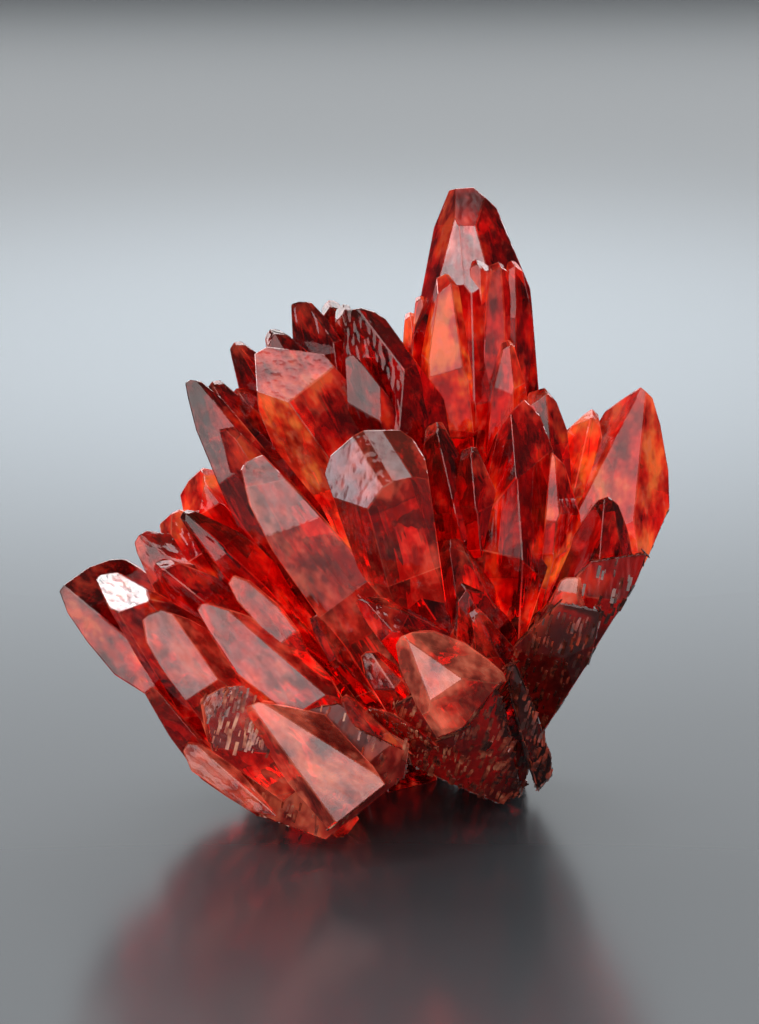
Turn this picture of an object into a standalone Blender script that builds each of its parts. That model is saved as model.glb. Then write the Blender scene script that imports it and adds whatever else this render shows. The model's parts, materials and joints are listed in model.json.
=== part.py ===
"""A hand-sized cluster of rhodochrosite crystals, fanned out from one broken root.

Every crystal is a steep scalenohedron. They grew into each other, so the cluster is one solid.
"""

import math
import random

import bmesh
import bpy
from mathutils import Matrix, Vector

# Sizes are in millimetres until the last step, and MM makes metres of them.
MM = 0.001

# The front view that the crystals are placed in: it looks along +Y and a little down.
VIEW_DOWN = math.radians(15)
VIEW_DISTANCE = 480
VIEW_CENTRE = Vector((1.75, 0, 38.5))
VIEW_CENTRE_UP = 41

# The block that a crystal is cleaved from.
BLOCK = 400

# Angles between a crystal's axis and its faces, from the tip down.
CAP_ANGLE = 47
BELLY_ANGLE = 5
ROOT_ANGLE = -7

# The six faces stand in three pairs, and this is half the angle between a pair's two normals.
HALF_PAIR = 23

# How much farther out the lower faces stand where the upper ones are placed one by one, and how
# much farther yet where a front face runs down to the root.
FRONT_ROOM = 1.25
WIDE_ROOM = 1.6

# How uneven the broken faces are: how far they lean off square, in degrees, and step inwards.
ROUGH_LEAN = 20
ROUGH_STEP = 1.0

# How many corners break off the far side of a lump of the root, how many faces its front splits
# into, and how far those lean, in degrees.
CHIPS = 12
FACETS = 7
FACET_LEAN = 18

# Where the cluster stands, and the outlines it is broken off along, as (right, up) in the front view.
FLOOR = 0.5
RIGHT_BREAK = ((36.1, 40.6), (32.7, 34.6), (21, 14.6))
LEFT_BREAK = ((-8, -0.4), (-9.4, -0.1), (-15, 3.7), (-19.7, 5.4))
LEFT_ARCH = ((3.1, 8.4), (-3.7, 3), (-8, -0.4))
RIGHT_ARCH = ((18.1, 5.4), (14.6, 5), (8.7, 7.6), (4, 9.9))
PALE_BREAK = ((17, 17.5), (14.5, 14.5), (9.5, 12.5), (5, 13.5))


def view_axes():
    """Right, up and towards the viewer, as the front view has them."""
    right = Vector((1, 0, 0))
    up = Vector((0, math.sin(VIEW_DOWN), math.cos(VIEW_DOWN)))
    near = Vector((0, -math.cos(VIEW_DOWN), math.sin(VIEW_DOWN)))
    return right, up, near


def seen(right, up, back):
    """The point that shows this far right and this far up in the front view, and lies this far back."""
    to_right, to_up, near = view_axes()
    eye = VIEW_CENTRE + near * VIEW_DISTANCE
    ray = VIEW_CENTRE + to_right * right + to_up * (up - VIEW_CENTRE_UP) - eye
    return eye + ray * ((back - eye.y) / ray.y)


def cleave(body, point, normal):
    """Takes off everything beyond a plane, and closes the cut with one flat face."""
    cut = bmesh.ops.bisect_plane(
        body,
        geom=body.verts[:] + body.edges[:] + body.faces[:],
        dist=1e-5,
        plane_co=point,
        plane_no=normal,
        clear_outer=True,
    )
    rim = [part for part in cut["geom_cut"] if isinstance(part, bmesh.types.BMEdge) and part.is_boundary]
    if rim:
        bmesh.ops.contextual_create(body, geom=rim)


def seen_plane(start, end, lean):
    """A plane through two points of the front view, as a point on it and its normal.

    Looking from start to end, a lean of 0 faces left, 90 faces the viewer and 180 faces right.
    """
    first, last = seen(*start), seen(*end)
    _, _, near = view_axes()
    along = (last - first).normalized()
    towards = (near - along * near.dot(along)).normalized()
    left = towards.cross(along)
    angle = math.radians(lean)
    return first, left * math.cos(angle) + towards * math.sin(angle)


def piece(name, body):
    """Makes an object of the body, in the collection of pieces to be joined."""
    bmesh.ops.recalc_face_normals(body, faces=body.faces)
    mesh = bpy.data.meshes.new(name)
    body.to_mesh(mesh)
    body.free()
    grown.objects.link(bpy.data.objects.new(name, mesh))


def trim(body, outline, back, rough=0, chance=None):
    """Cleaves the body along an outline of the front view, which goes round it clockwise.

    rough is how many degrees at most each face leans off square, and they lie up to ROUGH_STEP in.
    """
    for start, end in zip(outline, outline[1:]):
        lean = chance.uniform(-rough, rough) if rough else 0
        point, normal = seen_plane((*start, back), (*end, back), lean)
        if rough:
            point = point - normal * chance.uniform(0, ROUGH_STEP)
        cleave(body, point, normal)


def crystal(
    name, tip, root, width, turn=0, steep=17, blunt=0.13, room=FRONT_ROOM, rim=(), front=(), broken=(),
):
    """One crystal from its tip to where its axis meets the root.

    tip and root are (right, up, back) in the front view. turn swings the faces round the axis, and
    at 0 the edge between a pair of faces looks at the viewer. steep is the angle between the upper
    faces and the axis, and blunt the radius of the tip as a share of the width. rim is the outline
    as the viewer sees it, clockwise, as points (right, up), and broken the outline that it is broken
    off along. Each of front is a face on the viewer's side, as seen_plane takes it, and these
    replace the scalenohedron's own upper faces there, with room for them in front of the lower ones.
    """
    top, bottom = seen(*tip), seen(*root)
    axis = (top - bottom).normalized()
    length = (top - bottom).length
    _, _, near = view_axes()
    towards = (near - axis * near.dot(axis)).normalized()
    side = axis.cross(towards)
    chance = random.Random(name)
    radius = width / 2
    tip_radius = width * blunt
    body = bmesh.new()
    bmesh.ops.create_cube(body, size=BLOCK)

    def face(swing, angle, reach, height):
        """A face whose normal swings this far round the axis, this far out at that height."""
        swing, angle = math.radians(swing), math.radians(angle)
        outward = Vector((math.cos(swing), math.sin(swing), 0))
        normal = outward * math.cos(angle) + Vector((0, 0, math.sin(angle)))
        cleave(body, outward * reach + Vector((0, 0, height)), normal)

    shoulder = -(radius - tip_radius) / math.tan(math.radians(steep))
    waist = min(shoulder - 0.3 * radius, -0.45 * length)
    waist_radius = radius + math.tan(math.radians(BELLY_ANGLE)) * (shoulder - waist)
    for pair in range(3):
        between = turn + 60 + 120 * pair
        if not front or math.cos(math.radians(between)) < 0:
            face(between, CAP_ANGLE, 0, tip_radius * chance.uniform(0, 0.7))
        for hand in (-1, 1):
            swing = turn + 120 * pair + hand * HALF_PAIR
            out = chance.uniform(0.86, 1.08)
            if front and math.cos(math.radians(swing)) > 0:
                out *= room
            else:
                face(swing + chance.uniform(-3, 3), steep + chance.uniform(-2, 2), tip_radius * out, 0)
            face(swing + chance.uniform(-3, 3), BELLY_ANGLE, radius * out, shoulder)
            face(swing, ROOT_ANGLE, waist_radius * out, waist)
    cleave(body, Vector((0, 0, -length)), Vector((0, 0, -1)))
    place = Matrix.Translation(top) @ Matrix((towards, side, axis)).transposed().to_4x4()
    bmesh.ops.transform(body, matrix=place, verts=body.verts)
    trim(body, rim, (tip[2] + root[2]) / 2)
    trim(body, broken, root[2])
    trim(body, broken, root[2], ROUGH_LEAN, chance)
    for start, end, lean in front:
        cleave(body, *seen_plane(start, end, lean))
    cleave(body, Vector((0, 0, FLOOR)), Vector((0, 0, -1)))
    piece(name, body)


def lump(name, outline, nearest, farthest, slope=0):
    """A rough lump of the root between two distances back, with its outline in the front view.

    slope leans its front face back towards the floor, in degrees. Corners break off its far side,
    and its front face splits into a few faces that lean a little.
    """
    chance = random.Random(name)
    body = bmesh.new()
    bmesh.ops.create_cube(body, size=BLOCK)
    trim(body, outline + outline[:1], (nearest + farthest) / 2)
    right = sum(point[0] for point in outline) / len(outline)
    up = sum(point[1] for point in outline) / len(outline)
    for _ in range(FACETS):
        swing = math.radians(chance.uniform(-FACET_LEAN, FACET_LEAN))
        lean = math.radians(slope + chance.uniform(-FACET_LEAN, FACET_LEAN))
        facing = Vector((math.sin(swing), -math.cos(lean), -math.sin(lean)))
        spot = seen(right + chance.uniform(-3, 3), up + chance.uniform(-3, 3), nearest)
        cleave(body, spot, facing)
    cleave(body, Vector((0, farthest, 0)), Vector((0, 1, 0)))
    middle = sum((corner.co for corner in body.verts), Vector()) / len(body.verts)
    for _ in range(CHIPS):
        way = Vector((chance.uniform(-1, 1), chance.uniform(0.25, 1), chance.uniform(-0.4, 0.8)))
        way.normalize()
        reach = max((corner.co - middle).dot(way) for corner in body.verts)
        cleave(body, middle + way * reach * chance.uniform(0.74, 0.92), way)
    cleave(body, Vector((0, 0, FLOOR)), Vector((0, 0, -1)))
    piece(name, body)


for old in list(bpy.data.objects):
    bpy.data.objects.remove(old)
grown = bpy.data.collections.new("grown_crystals")
bpy.context.scene.collection.children.link(grown)


def spire_group():
    """The tall crystal at the top, with the columns that grew along it."""
    crystal(
        "spire", (11.1, 81.6, 8), (12.5, 30, 8), 12.4, steep=22, blunt=0.2,
        rim=((5.1, 67.5), (6.9, 76.9), (8.6, 81.3), (11.8, 81.6), (14.6, 79), (18.7, 68.7), (19.6, 56.9)),
        front=(
            ((9, 76.7, 3.5), (14, 76.1, 3.8), 60),
            ((7.5, 70.6, 2.2), (8.9, 76.5, 4.4), 24),
            ((10.5, 71.2, 1), (10, 76.5, 3.6), 66),
            ((10.5, 71.2, 1), (10, 76.5, 3.6), 100),
            ((13.9, 72.2, 2.4), (12.5, 76.5, 4.2), 128),
        ),
    )
    crystal("spire_left", (8.4, 70.6, 1), (11, 32, 6), 8.6, turn=20, steep=14)
    crystal("spire_step", (5.2, 67.9, 4), (9, 32, 6), 5.5, steep=12)
    crystal("spire_edge", (3.9, 66, 6), (8, 32, 8), 5, steep=12)
    crystal("spire_middle", (12.5, 72.3, 1.5), (12.6, 32, 4), 3.4, steep=9, blunt=0.3)
    crystal("spire_column", (14.7, 72, 0.8), (14.2, 32, 4), 3.4, turn=23, steep=8, blunt=0.28)
    crystal("spire_right", (16.8, 72.2, 2), (15.8, 32, 4), 4, turn=23, steep=10, blunt=0.18)
    crystal("spire_foot", (16, 62.3, -1), (15, 32, 3), 5, turn=23, steep=14)


def right_group():
    """The wide crystals that lean out to the right."""
    crystal(
        "right_front", (17.8, 55.2, -2), (16, 18, -2), 12.6, steep=20, blunt=0.12,
        rim=(
            (10.6, 38.7), (11, 42), (12.2, 46.9), (15, 51.5), (16.9, 54), (18.1, 55),
            (20, 53), (21.6, 48.7), (22.1, 42.5), (21.6, 36.9), (19.4, 30),
        ),
        front=(
            ((17.1, 31.2, -12.4), (17.1, 45, -9.8), 70),
            ((17.1, 31.2, -12.4), (17.1, 45, -9.8), 128),
            ((12.4, 36.9, -10.1), (15, 46.5, -8.4), 28),
            ((17.1, 45, -9.8), (16.5, 52.5, -6), 50),
            ((17.1, 45, -9.8), (16.5, 52.5, -6), 116),
        ),
    )
    crystal(
        "right_front_back", (20.4, 56.3, -1), (17, 18, 1), 10, turn=20, steep=20, broken=RIGHT_BREAK,
        rim=((17.5, 53.7), (18.4, 55.9), (20.6, 56.5), (22.1, 54.7), (23.4, 51.2), (23.7, 47.5)),
    )
    crystal(
        "right_orange", (26.6, 53.8, 2), (17.5, 18, 2), 10, turn=10, steep=19, broken=RIGHT_BREAK,
        rim=((20.6, 47.5), (22, 50), (25.6, 53.2), (26.6, 53.9), (27.4, 53.2), (27.8, 50)),
    )
    crystal(
        "right_fold", (21.4, 48.6, -7), (17.5, 24, -3), 8, turn=30, steep=20,
        rim=((19, 27.5), (20.9, 44), (21.3, 48.6), (24.4, 45.6), (26.5, 42.5), (27.2, 36)),
    )
    crystal(
        "right_outer", (32.9, 56.5, 4), (25, 18, 4), 13, turn=30, steep=20, broken=RIGHT_BREAK,
        rim=(
            (24.4, 46.2), (26.2, 50.2), (28.1, 53.5), (30, 54.9), (32.5, 56.5), (34, 55.2),
            (35, 51.9), (36, 46.2), (36.1, 40.6),
        ),
        front=(
            ((26.2, 43.7, -2.5), (31.5, 54, 0.5), 48),
            ((26.2, 43.7, -2.5), (31.5, 54, 0.5), 88),
            ((32.1, 45.2, -2.4), (33.5, 54.4, 0.9), 136),
        ),
    )
    crystal(
        "right_dark", (28.4, 42.5, -6), (20.6, 17, -2), 11, turn=-10, steep=22, broken=RIGHT_BREAK,
        rim=(
            (18.7, 29.4), (22.5, 35.4), (25.6, 40.6), (27.2, 42.5), (28.4, 42.9), (29.7, 41.9),
            (31, 38.7), (31.6, 35), (31, 31.2),
        ),
        front=(
            ((27.1, 30, -11), (28, 41, -8.5), 52),
            ((27.1, 30, -11), (28, 41, -8.5), 112),
            ((31, 32.5, -9), (29.5, 41.5, -7.5), 150),
        ),
    )
    crystal(
        "right_low", (24.8, 32.5, -10), (20, 15, -6), 7, turn=10, steep=20, broken=RIGHT_BREAK,
        rim=((19.4, 26), (22.5, 32.5), (23.2, 32.9), (25.4, 32.9), (26.2, 31), (26.6, 27.5), (26.2, 24)),
        front=(
            ((21, 26, -14), (23.5, 32, -12.5), 75),
            ((26, 26, -12.5), (25.5, 32, -12), 140),
        ),
    )


def middle_group():
    """The fan between the spire and the left edge."""
    crystal(
        "facing", (-1, 50.6, -16), (7, 24, -2), 13, turn=-20, steep=24, blunt=0.3,
        rim=(
            (-5.6, 42.5), (-6.9, 46.2), (-6.6, 47.4), (-3.1, 50.4), (-1.9, 51), (2.5, 51.1),
            (4.1, 50), (5.6, 47.5), (6, 45.2), (7.5, 35),
        ),
        front=(
            ((1.5, 43.7, -22), (-2.5, 50.5, -18.5), 64),
            ((1.5, 43.7, -22), (-2.5, 50.5, -18.5), 100),
            ((3.3, 44.6, -22), (-0.8, 50.9, -18.8), 124),
            ((3.5, 43.4, -22), (-3.5, 41.6, -21), 58),
            ((-3.5, 41.6, -21), (-6.7, 46, -18.5), 38),
        ),
    )
    crystal(
        "blade", (-14.4, 48, -9.7), (3.8, 17.5, -6), 10, turn=23, steep=20, blunt=0.2, room=WIDE_ROOM,
        rim=(
            (-7.7, 28.5), (-13.1, 36.2), (-16, 41.9), (-17.1, 46.2), (-16.7, 47.2), (-14.4, 48.1),
            (-11.9, 45.5), (-9.4, 42.9), (-5.6, 38.7), (0, 32.5),
        ),
        front=(
            ((-4.4, 31.2, -17.5), (-14.7, 45, -15.1), 90),
            ((0, 33, -17), (-10.5, 43.5, -15.7), 116),
            ((-16.2, 44.7, -14.9), (-12, 45.5, -14.6), 58),
        ),
    )
    crystal(
        "blade_back", (-18.8, 51.2, -7.5), (2.5, 18.8, -2), 7, steep=17,
        rim=((-12, 33), (-19.4, 46.2), (-20.4, 50), (-19.7, 51.2), (-18.1, 51.5), (-15.6, 49.4), (-10, 43)),
        front=(
            ((-12, 38, -13.5), (-18.5, 49.5, -11.2), 85),
            ((-12, 38, -13.5), (-18.5, 49.5, -11.2), 108),
        ),
    )
    crystal(
        "upper_left", (-23.1, 57.4, -6.1), (0, 20, 0), 9, turn=10, steep=18,
        rim=(
            (-21, 47.2), (-22.7, 51.2), (-23.7, 55), (-24.1, 57), (-23.5, 57.4), (-22.1, 57.2),
            (-19.4, 55), (-16.2, 51.2),
        ),
        front=(
            ((-17.5, 51, -9.3), (-22.4, 56.9, -7), 74),
            ((-17.5, 51, -9.3), (-22.4, 56.9, -7), 118),
        ),
    )
    crystal("upper_left_red", (-20.9, 57.1, -3), (2.5, 22, 0), 7, steep=16)
    crystal("upper_left_behind", (-17.8, 56.3, 1), (2.5, 24, 2), 7, steep=18)
    crystal(
        "orange_blunt", (-12, 61.5, -2), (6.3, 25, 2), 13.5, steep=22, blunt=0.33,
        rim=(
            (-14.7, 51.2), (-16.7, 56.9), (-16.6, 60), (-14, 61.6), (-7, 60.7), (-3.7, 56.9),
            (-1, 52.5), (3, 45),
        ),
        front=(
            ((-14.4, 58.1, -5), (-5, 58.1, -5), 50),
            ((-6.2, 47.5, -8), (-11.2, 54.6, -8.6), 50),
            ((-6.2, 47.5, -8), (-11.2, 54.6, -8.6), 118),
        ),
    )
    crystal("crown_low", (-18, 62, 4), (2.5, 30, 4), 6.5, steep=18)
    crystal("crown_light", (-13.4, 63.5, 3), (3.8, 30, 4), 7.5, turn=10, steep=18)
    crystal(
        "crown_red", (-10, 67.3, 6), (5, 30, 6), 9, steep=20,
        rim=((-11.2, 61.2), (-11.2, 65.6), (-11, 66.9), (-10, 67.2), (-8.5, 67.1), (-6.2, 64.7), (-4.4, 62)),
        front=(
            ((-5.6, 62, 1.5), (-8.7, 66.7, 3.6), 66),
            ((-5.6, 62, 1.5), (-8.7, 66.7, 3.6), 116),
        ),
    )
    crystal("crown_rough", (-6.3, 67.2, 8), (6.3, 30, 8), 7, steep=18)
    crystal("crown_stub", (-4.6, 66.4, 5), (6.3, 30, 5), 3.6, steep=10, blunt=0.3)
    crystal(
        "dark_shoulder", (-2.2, 66.4, 3), (8.8, 27.5, 4), 13.5, steep=20,
        rim=(
            (-5.5, 58), (-4.4, 66), (-2.2, 66.4), (-0.6, 65.9), (1.9, 64.2), (4, 61.9),
            (6.2, 59.4), (7.9, 55.6), (8.4, 52.5),
        ),
        front=(
            ((3.1, 58.7, -3.5), (-2.2, 65.7, 0.5), 72),
            ((3.1, 58.7, -3.5), (-2.2, 65.7, 0.5), 112),
        ),
    )
    crystal(
        "dark_blade", (-3.6, 60.4, -3), (8.8, 28, 2), 5.5, steep=16,
        rim=((-4.6, 56), (-4.4, 60), (-3.7, 60.5), (-3, 60.4), (-0.9, 58.2), (0.7, 56.5), (4, 50)),
        front=(
            ((0, 54, -5.4), (-3.4, 60, -4), 80),
        ),
    )
    crystal("dark_low", (6.9, 51.9, -7), (12.5, 24, -2), 7.5, steep=16)
    crystal("dark_right", (11.3, 49.1, -8), (13.5, 24, -2), 7, steep=16)


def left_group():
    """The crystals that reach out to the left."""
    crystal(
        "left_outer", (-38, 32.5, -6), (-10, 12, -2), 17, steep=30, blunt=0.25,
        rim=(
            (-28.7, 18.7), (-32.5, 21), (-36, 25), (-38.5, 28.5), (-39.6, 31.2), (-39, 32),
            (-36.2, 34.1), (-33.5, 35.1), (-31.6, 35.2), (-30, 34), (-25, 31),
        ),
        front=(
            ((-30, 24, -12), (-38.5, 31, -9), 82),
            ((-30, 24, -12), (-38.5, 31, -9), 128),
        ),
    )
    crystal(
        "left_white", (-35, 32.9, -13), (-11, 10.4, -5), 12, steep=24,
        rim=(
            (-24.4, 13.1), (-27.5, 18.7), (-31.2, 25), (-34, 29.4), (-35.1, 32.5), (-34.6, 33.2),
            (-32.5, 33.5), (-27, 30.6), (-21.9, 27.7), (-15, 22),
        ),
        front=(
            ((-27.5, 20, -15.5), (-32.7, 28.5, -16.8), 35),
            ((-27.5, 20, -15.5), (-32.7, 28.5, -16.8), 80),
            ((-22, 27, -15.6), (-28.7, 30.2, -16.6), 134),
            ((-32.5, 28.5, -16.8), (-29, 30.2, -16.6), 60),
        ),
    )
    crystal(
        "left_broad", (-28.6, 28.3, -17.9), (-13.8, 8, -8), 9, turn=-23, steep=20, room=WIDE_ROOM,
        rim=(
            (-23.1, 16.9), (-26.9, 21.9), (-28.7, 25), (-29.2, 27.7), (-28.5, 28.4), (-26.9, 29),
            (-21.9, 27.2), (-19.4, 23.7), (-16.2, 18.7),
        ),
        front=(
            ((-22, 18.5, -21), (-28, 27, -19.8), 92),
            ((-19, 18.7, -20.6), (-24.5, 26, -19.9), 138),
        ),
    )
    crystal(
        "left_long", (-21.5, 29.5, -16.6), (-5, 10, -10), 9.5, turn=-23, steep=18, room=WIDE_ROOM,
        rim=(
            (-13.7, 18.1), (-17.5, 21), (-20.6, 25.6), (-22.5, 29), (-22.1, 29.6), (-21, 29.7),
            (-16.2, 28.1), (-10, 24.7), (-6.2, 20.6), (-4.4, 17.5),
        ),
        front=(
            ((-7, 17.5, -20), (-20.5, 28, -19.2), 92),
            ((-6.5, 18.3, -19.6), (-14.4, 25, -19.1), 134),
        ),
    )
    crystal(
        "left_short", (-18, 33.2, -15.2), (-3.8, 15, -6), 7.5, turn=-23, steep=18, room=WIDE_ROOM,
        rim=(
            (-10.6, 23.7), (-14.7, 26.9), (-17.5, 30), (-18.6, 32.2), (-18, 33.2), (-16.2, 32.5),
            (-12.5, 29.4), (-10, 26.2), (-8.7, 23),
        ),
        front=(
            ((-10.5, 24.5, -18), (-17.5, 32, -17.2), 90),
        ),
    )
    crystal(
        "left_brown", (-29.4, 38.1, -6.3), (-6.3, 18, 0), 10, turn=10, steep=20,
        rim=(
            (-28.5, 33), (-29.9, 36), (-30.2, 37.2), (-29.7, 38.1), (-28.7, 38.7), (-25.6, 38.2),
            (-22.5, 35), (-17.5, 30),
        ),
        front=(
            ((-21, 31, -12), (-29, 37.5, -9.5), 78),
            ((-21, 31, -12), (-29, 37.5, -9.5), 112),
        ),
    )
    crystal(
        "left_upper", (-26.6, 42.5, -6), (-5, 20, 0), 13, steep=34,
        rim=(
            (-30.3, 36.5), (-30.1, 37.6), (-28.5, 39.5), (-25.6, 40.9), (-25, 41.4), (-23.7, 41),
            (-19, 36), (-15, 31),
        ),
    )
    crystal(
        "left_broken", (-23, 46.2, -3), (-5, 25, 0), 10, steep=24, blunt=0.3,
        rim=((-25.2, 40.6), (-25, 42.9), (-23.7, 45), (-21.9, 46.5), (-20.6, 46.2), (-17.5, 42)),
    )
    crystal("left_dark", (-24.5, 41, -12), (-5, 22, -5), 5.5, turn=20, steep=14)
    crystal("left_inner", (-27.5, 34.5, -11), (-6.3, 17.5, -4), 8, steep=17)


def front_group():
    """The crystals that point at the viewer and down to the left."""
    crystal(
        "low_left", (-28.6, 19.3, -15), (-12, 2, -6), 11, steep=24, broken=LEFT_BREAK,
        rim=(
            (-22.9, 9.2), (-26, 13.4), (-27.9, 16.7), (-29, 18.7), (-28.1, 19.5), (-26.9, 18.7),
            (-23.1, 14.4), (-19, 10),
        ),
        front=(
            ((-21, 10.5, -17), (-27.5, 18.3, -17), 62),
            ((-21, 10.5, -17), (-27.5, 18.3, -17), 118),
        ),
    )
    crystal(
        "low_edge", (-23.8, 12.4, -17.3), (-9, -1, -10), 14, steep=24, room=WIDE_ROOM, broken=LEFT_ARCH,
        rim=(
            (-10, 0.2), (-16.2, 4.4), (-19.7, 5.2), (-22.9, 8.5), (-24.2, 11.5), (-23.7, 12.5),
            (-21.9, 12.2), (-17.5, 9.4), (-13.7, 5),
        ),
        front=(
            ((-14, 4, -22), (-22.5, 11.5, -20), 83),
            ((-14, 4, -22), (-22.5, 11.5, -20), 116),
        ),
    )
    crystal(
        "etched_stump", (-19, 19, -20), (-6.3, 3.8, -8), 11, steep=24, blunt=0.36, broken=LEFT_BREAK,
        rim=(
            (-18.1, 10), (-20.6, 11.9), (-22.5, 15), (-23, 16.9), (-22.5, 17.7), (-19.4, 19.4),
            (-16.6, 19.7), (-14.7, 18), (-10, 12),
        ),
        front=(
            ((-21, 14, -25), (-16, 16, -26), 70),
            ((-21, 12, -24.5), (-13, 6, -24), 96),
        ),
    )
    crystal(
        "low_broad", (-15.8, 17.3, -20.9), (0.6, 3.5, -14), 13, turn=-23, steep=22, room=WIDE_ROOM,
        broken=LEFT_ARCH,
        rim=(
            (-6.2, 2), (-11.2, 7.5), (-14.7, 13), (-16.6, 16), (-16.2, 17.1), (-14.7, 17.7),
            (-11.2, 16.9), (-6.2, 16), (-4.4, 15), (-0.6, 9.4), (1.5, 7.2),
        ),
        front=(
            ((0, 7, -25), (-14, 15.5, -24.8), 92),
            ((-0.6, 9.4, -23.7), (-11, 15.6, -23.9), 138),
            ((-6.9, 4, -26.3), (-14, 13.5, -24.9), 40),
        ),
    )
    crystal(
        "low_dart", (-8, 28.2, -20), (2.5, 12.5, -6), 6.5, steep=16,
        rim=(
            (-3.1, 18), (-6.2, 22.5), (-8.1, 26.2), (-8.6, 27.9), (-7.7, 28.4), (-6.2, 26.9),
            (-3.7, 23.7), (-1.5, 20),
        ),
        front=(
            ((-4, 20, -19.5), (-7.9, 27.7, -21.4), 66),
            ((-4, 20, -19.5), (-7.9, 27.7, -21.4), 118),
        ),
    )
    crystal(
        "front_red", (-1.8, 30.3, -16.3), (12.5, 14, -6), 9.5, steep=20, broken=RIGHT_ARCH,
        rim=(
            (2.5, 21), (-1.2, 26.9), (-3.1, 29.4), (-2.9, 30.1), (-1.6, 30.6), (2.5, 30.2),
            (6.2, 29.7), (8.1, 27.5), (9.5, 23),
        ),
        front=(
            ((4.5, 23, -21), (-1.5, 29.6, -18.5), 61),
            ((4.5, 23, -21), (-1.5, 29.6, -18.5), 102),
            ((5, 28.4, -18.2), (0, 30, -17.4), 150),
        ),
    )
    crystal(
        "front_pale", (4, 25.8, -22), (15, 11, -12), 12.5, turn=-23, steep=24, broken=PALE_BREAK,
        rim=(
            (7.5, 12.5), (4.4, 17.5), (2.5, 21.9), (2, 24.7), (2.7, 25.7), (4, 26.2),
            (6.9, 26.2), (10.6, 24.7), (13.7, 22.5), (15.4, 21), (16.6, 17),
        ),
        front=(
            ((8, 13, -28), (5, 21, -26.5), 46),
            ((8, 13, -28), (5, 21, -26.5), 90),
            ((15, 18.7, -25.6), (7.5, 24, -24.7), 130),
        ),
    )
    crystal(
        "front_wedge", (-1.5, 23.5, -18.9), (7.5, 8, -8), 7, steep=16, broken=RIGHT_ARCH, room=WIDE_ROOM,
        rim=(
            (0.6, 17), (-1.9, 21.2), (-2.4, 23.1), (-1.7, 23.7), (-0.2, 23.7), (1.9, 22.5),
            (3.7, 18.7), (6, 14),
        ),
        front=(
            ((4, 15.8, -23), (-0.9, 23.1, -21), 77),
            ((4, 15.8, -23), (-0.9, 23.1, -21), 104),
        ),
    )
    crystal(
        "front_sliver", (-4.1, 18.4, -24), (6.3, 5, -10), 6.5, steep=16, broken=RIGHT_ARCH,
        rim=((-0.6, 11.2), (-3.7, 15.6), (-4.9, 17.9), (-4.1, 18.5), (-2.7, 17.5), (3, 12)),
        front=(
            ((0, 12.5, -24), (-4, 18, -25.2), 70),
            ((0, 12.5, -24), (-4, 18, -25.2), 120),
        ),
    )
    crystal(
        "front_low", (-1.5, 16.8, -22.4), (9, 5.5, -12), 8, steep=16, broken=RIGHT_ARCH, room=WIDE_ROOM,
        rim=((2.5, 9.4), (-0.6, 13.1), (-1.9, 16), (-1.2, 16.9), (1.9, 16), (6.2, 13.1), (9.5, 9)),
        front=(
            ((5, 10.3, -25), (-1, 16.3, -24.1), 89),
            ((5, 10.3, -25), (-1, 16.3, -24.1), 124),
        ),
    )
    crystal("front_spur", (10.4, 32.1, -14), (15, 16, -6), 7.5, turn=20, steep=22)
    crystal("front_curl", (11.9, 28.6, -16), (17.5, 13, -8), 5.5, turn=20, steep=16)
    crystal("front_mid", (3.1, 33.1, -14), (12.5, 16, -5), 8, turn=10, steep=20)
    crystal("front_mid_right", (9, 37.3, -13), (13, 16, -5), 8, turn=-10, steep=20)


def hidden_group():
    """The crystals on the far side, which fill the fan out."""
    crystal("back_crown", (-14, 56, 13), (3, 26, 3), 11, steep=20)
    crystal("back_crown_right", (-5, 60, 15), (5, 28, 4), 11, turn=20, steep=20)
    crystal("back_spire", (8, 66, 14), (11, 30, 5), 10, turn=-20, steep=18)
    crystal("back_upper", (0, 50, 21), (6, 22, 5), 12, turn=30, steep=20)
    crystal("back_upper_right", (12, 54, 19), (11, 22, 5), 11, steep=20)
    crystal("back_right", (22, 46, 15), (13, 20, 5), 10, turn=20, steep=20, broken=RIGHT_BREAK)
    crystal("back_outer", (28, 48, 11), (16, 20, 4), 10, steep=20, broken=RIGHT_BREAK)
    crystal("back_left", (-20, 45, 10), (2, 22, 2), 10, turn=-20, steep=20)
    crystal("back_left_low", (-28, 32, 7), (-4, 14, 2), 10, steep=20)
    crystal("back_left_edge", (-28, 21, 6), (-6, 8, 1), 10, turn=25, steep=20)
    crystal("back_middle", (-12, 40, 20), (3, 18, 4), 12, turn=15, steep=20)
    crystal("back_middle_low", (-22, 28, 16), (0, 12, 3), 11, turn=-15, steep=20)
    crystal("back_corner", (-17, 17, 18), (1, 8, 3), 11, steep=20)
    crystal("back_facing", (-5, 29, 24), (5, 14, 5), 12, turn=30, steep=22)
    crystal("back_facing_right", (8, 34, 24), (10, 16, 5), 12, steep=22)
    crystal("back_side", (19, 33, 18), (12, 16, 5), 10, turn=-25, steep=22, broken=RIGHT_BREAK)
    crystal("back_low", (-8, 12, 22), (4, 6, 5), 10, turn=10, steep=22)


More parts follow.
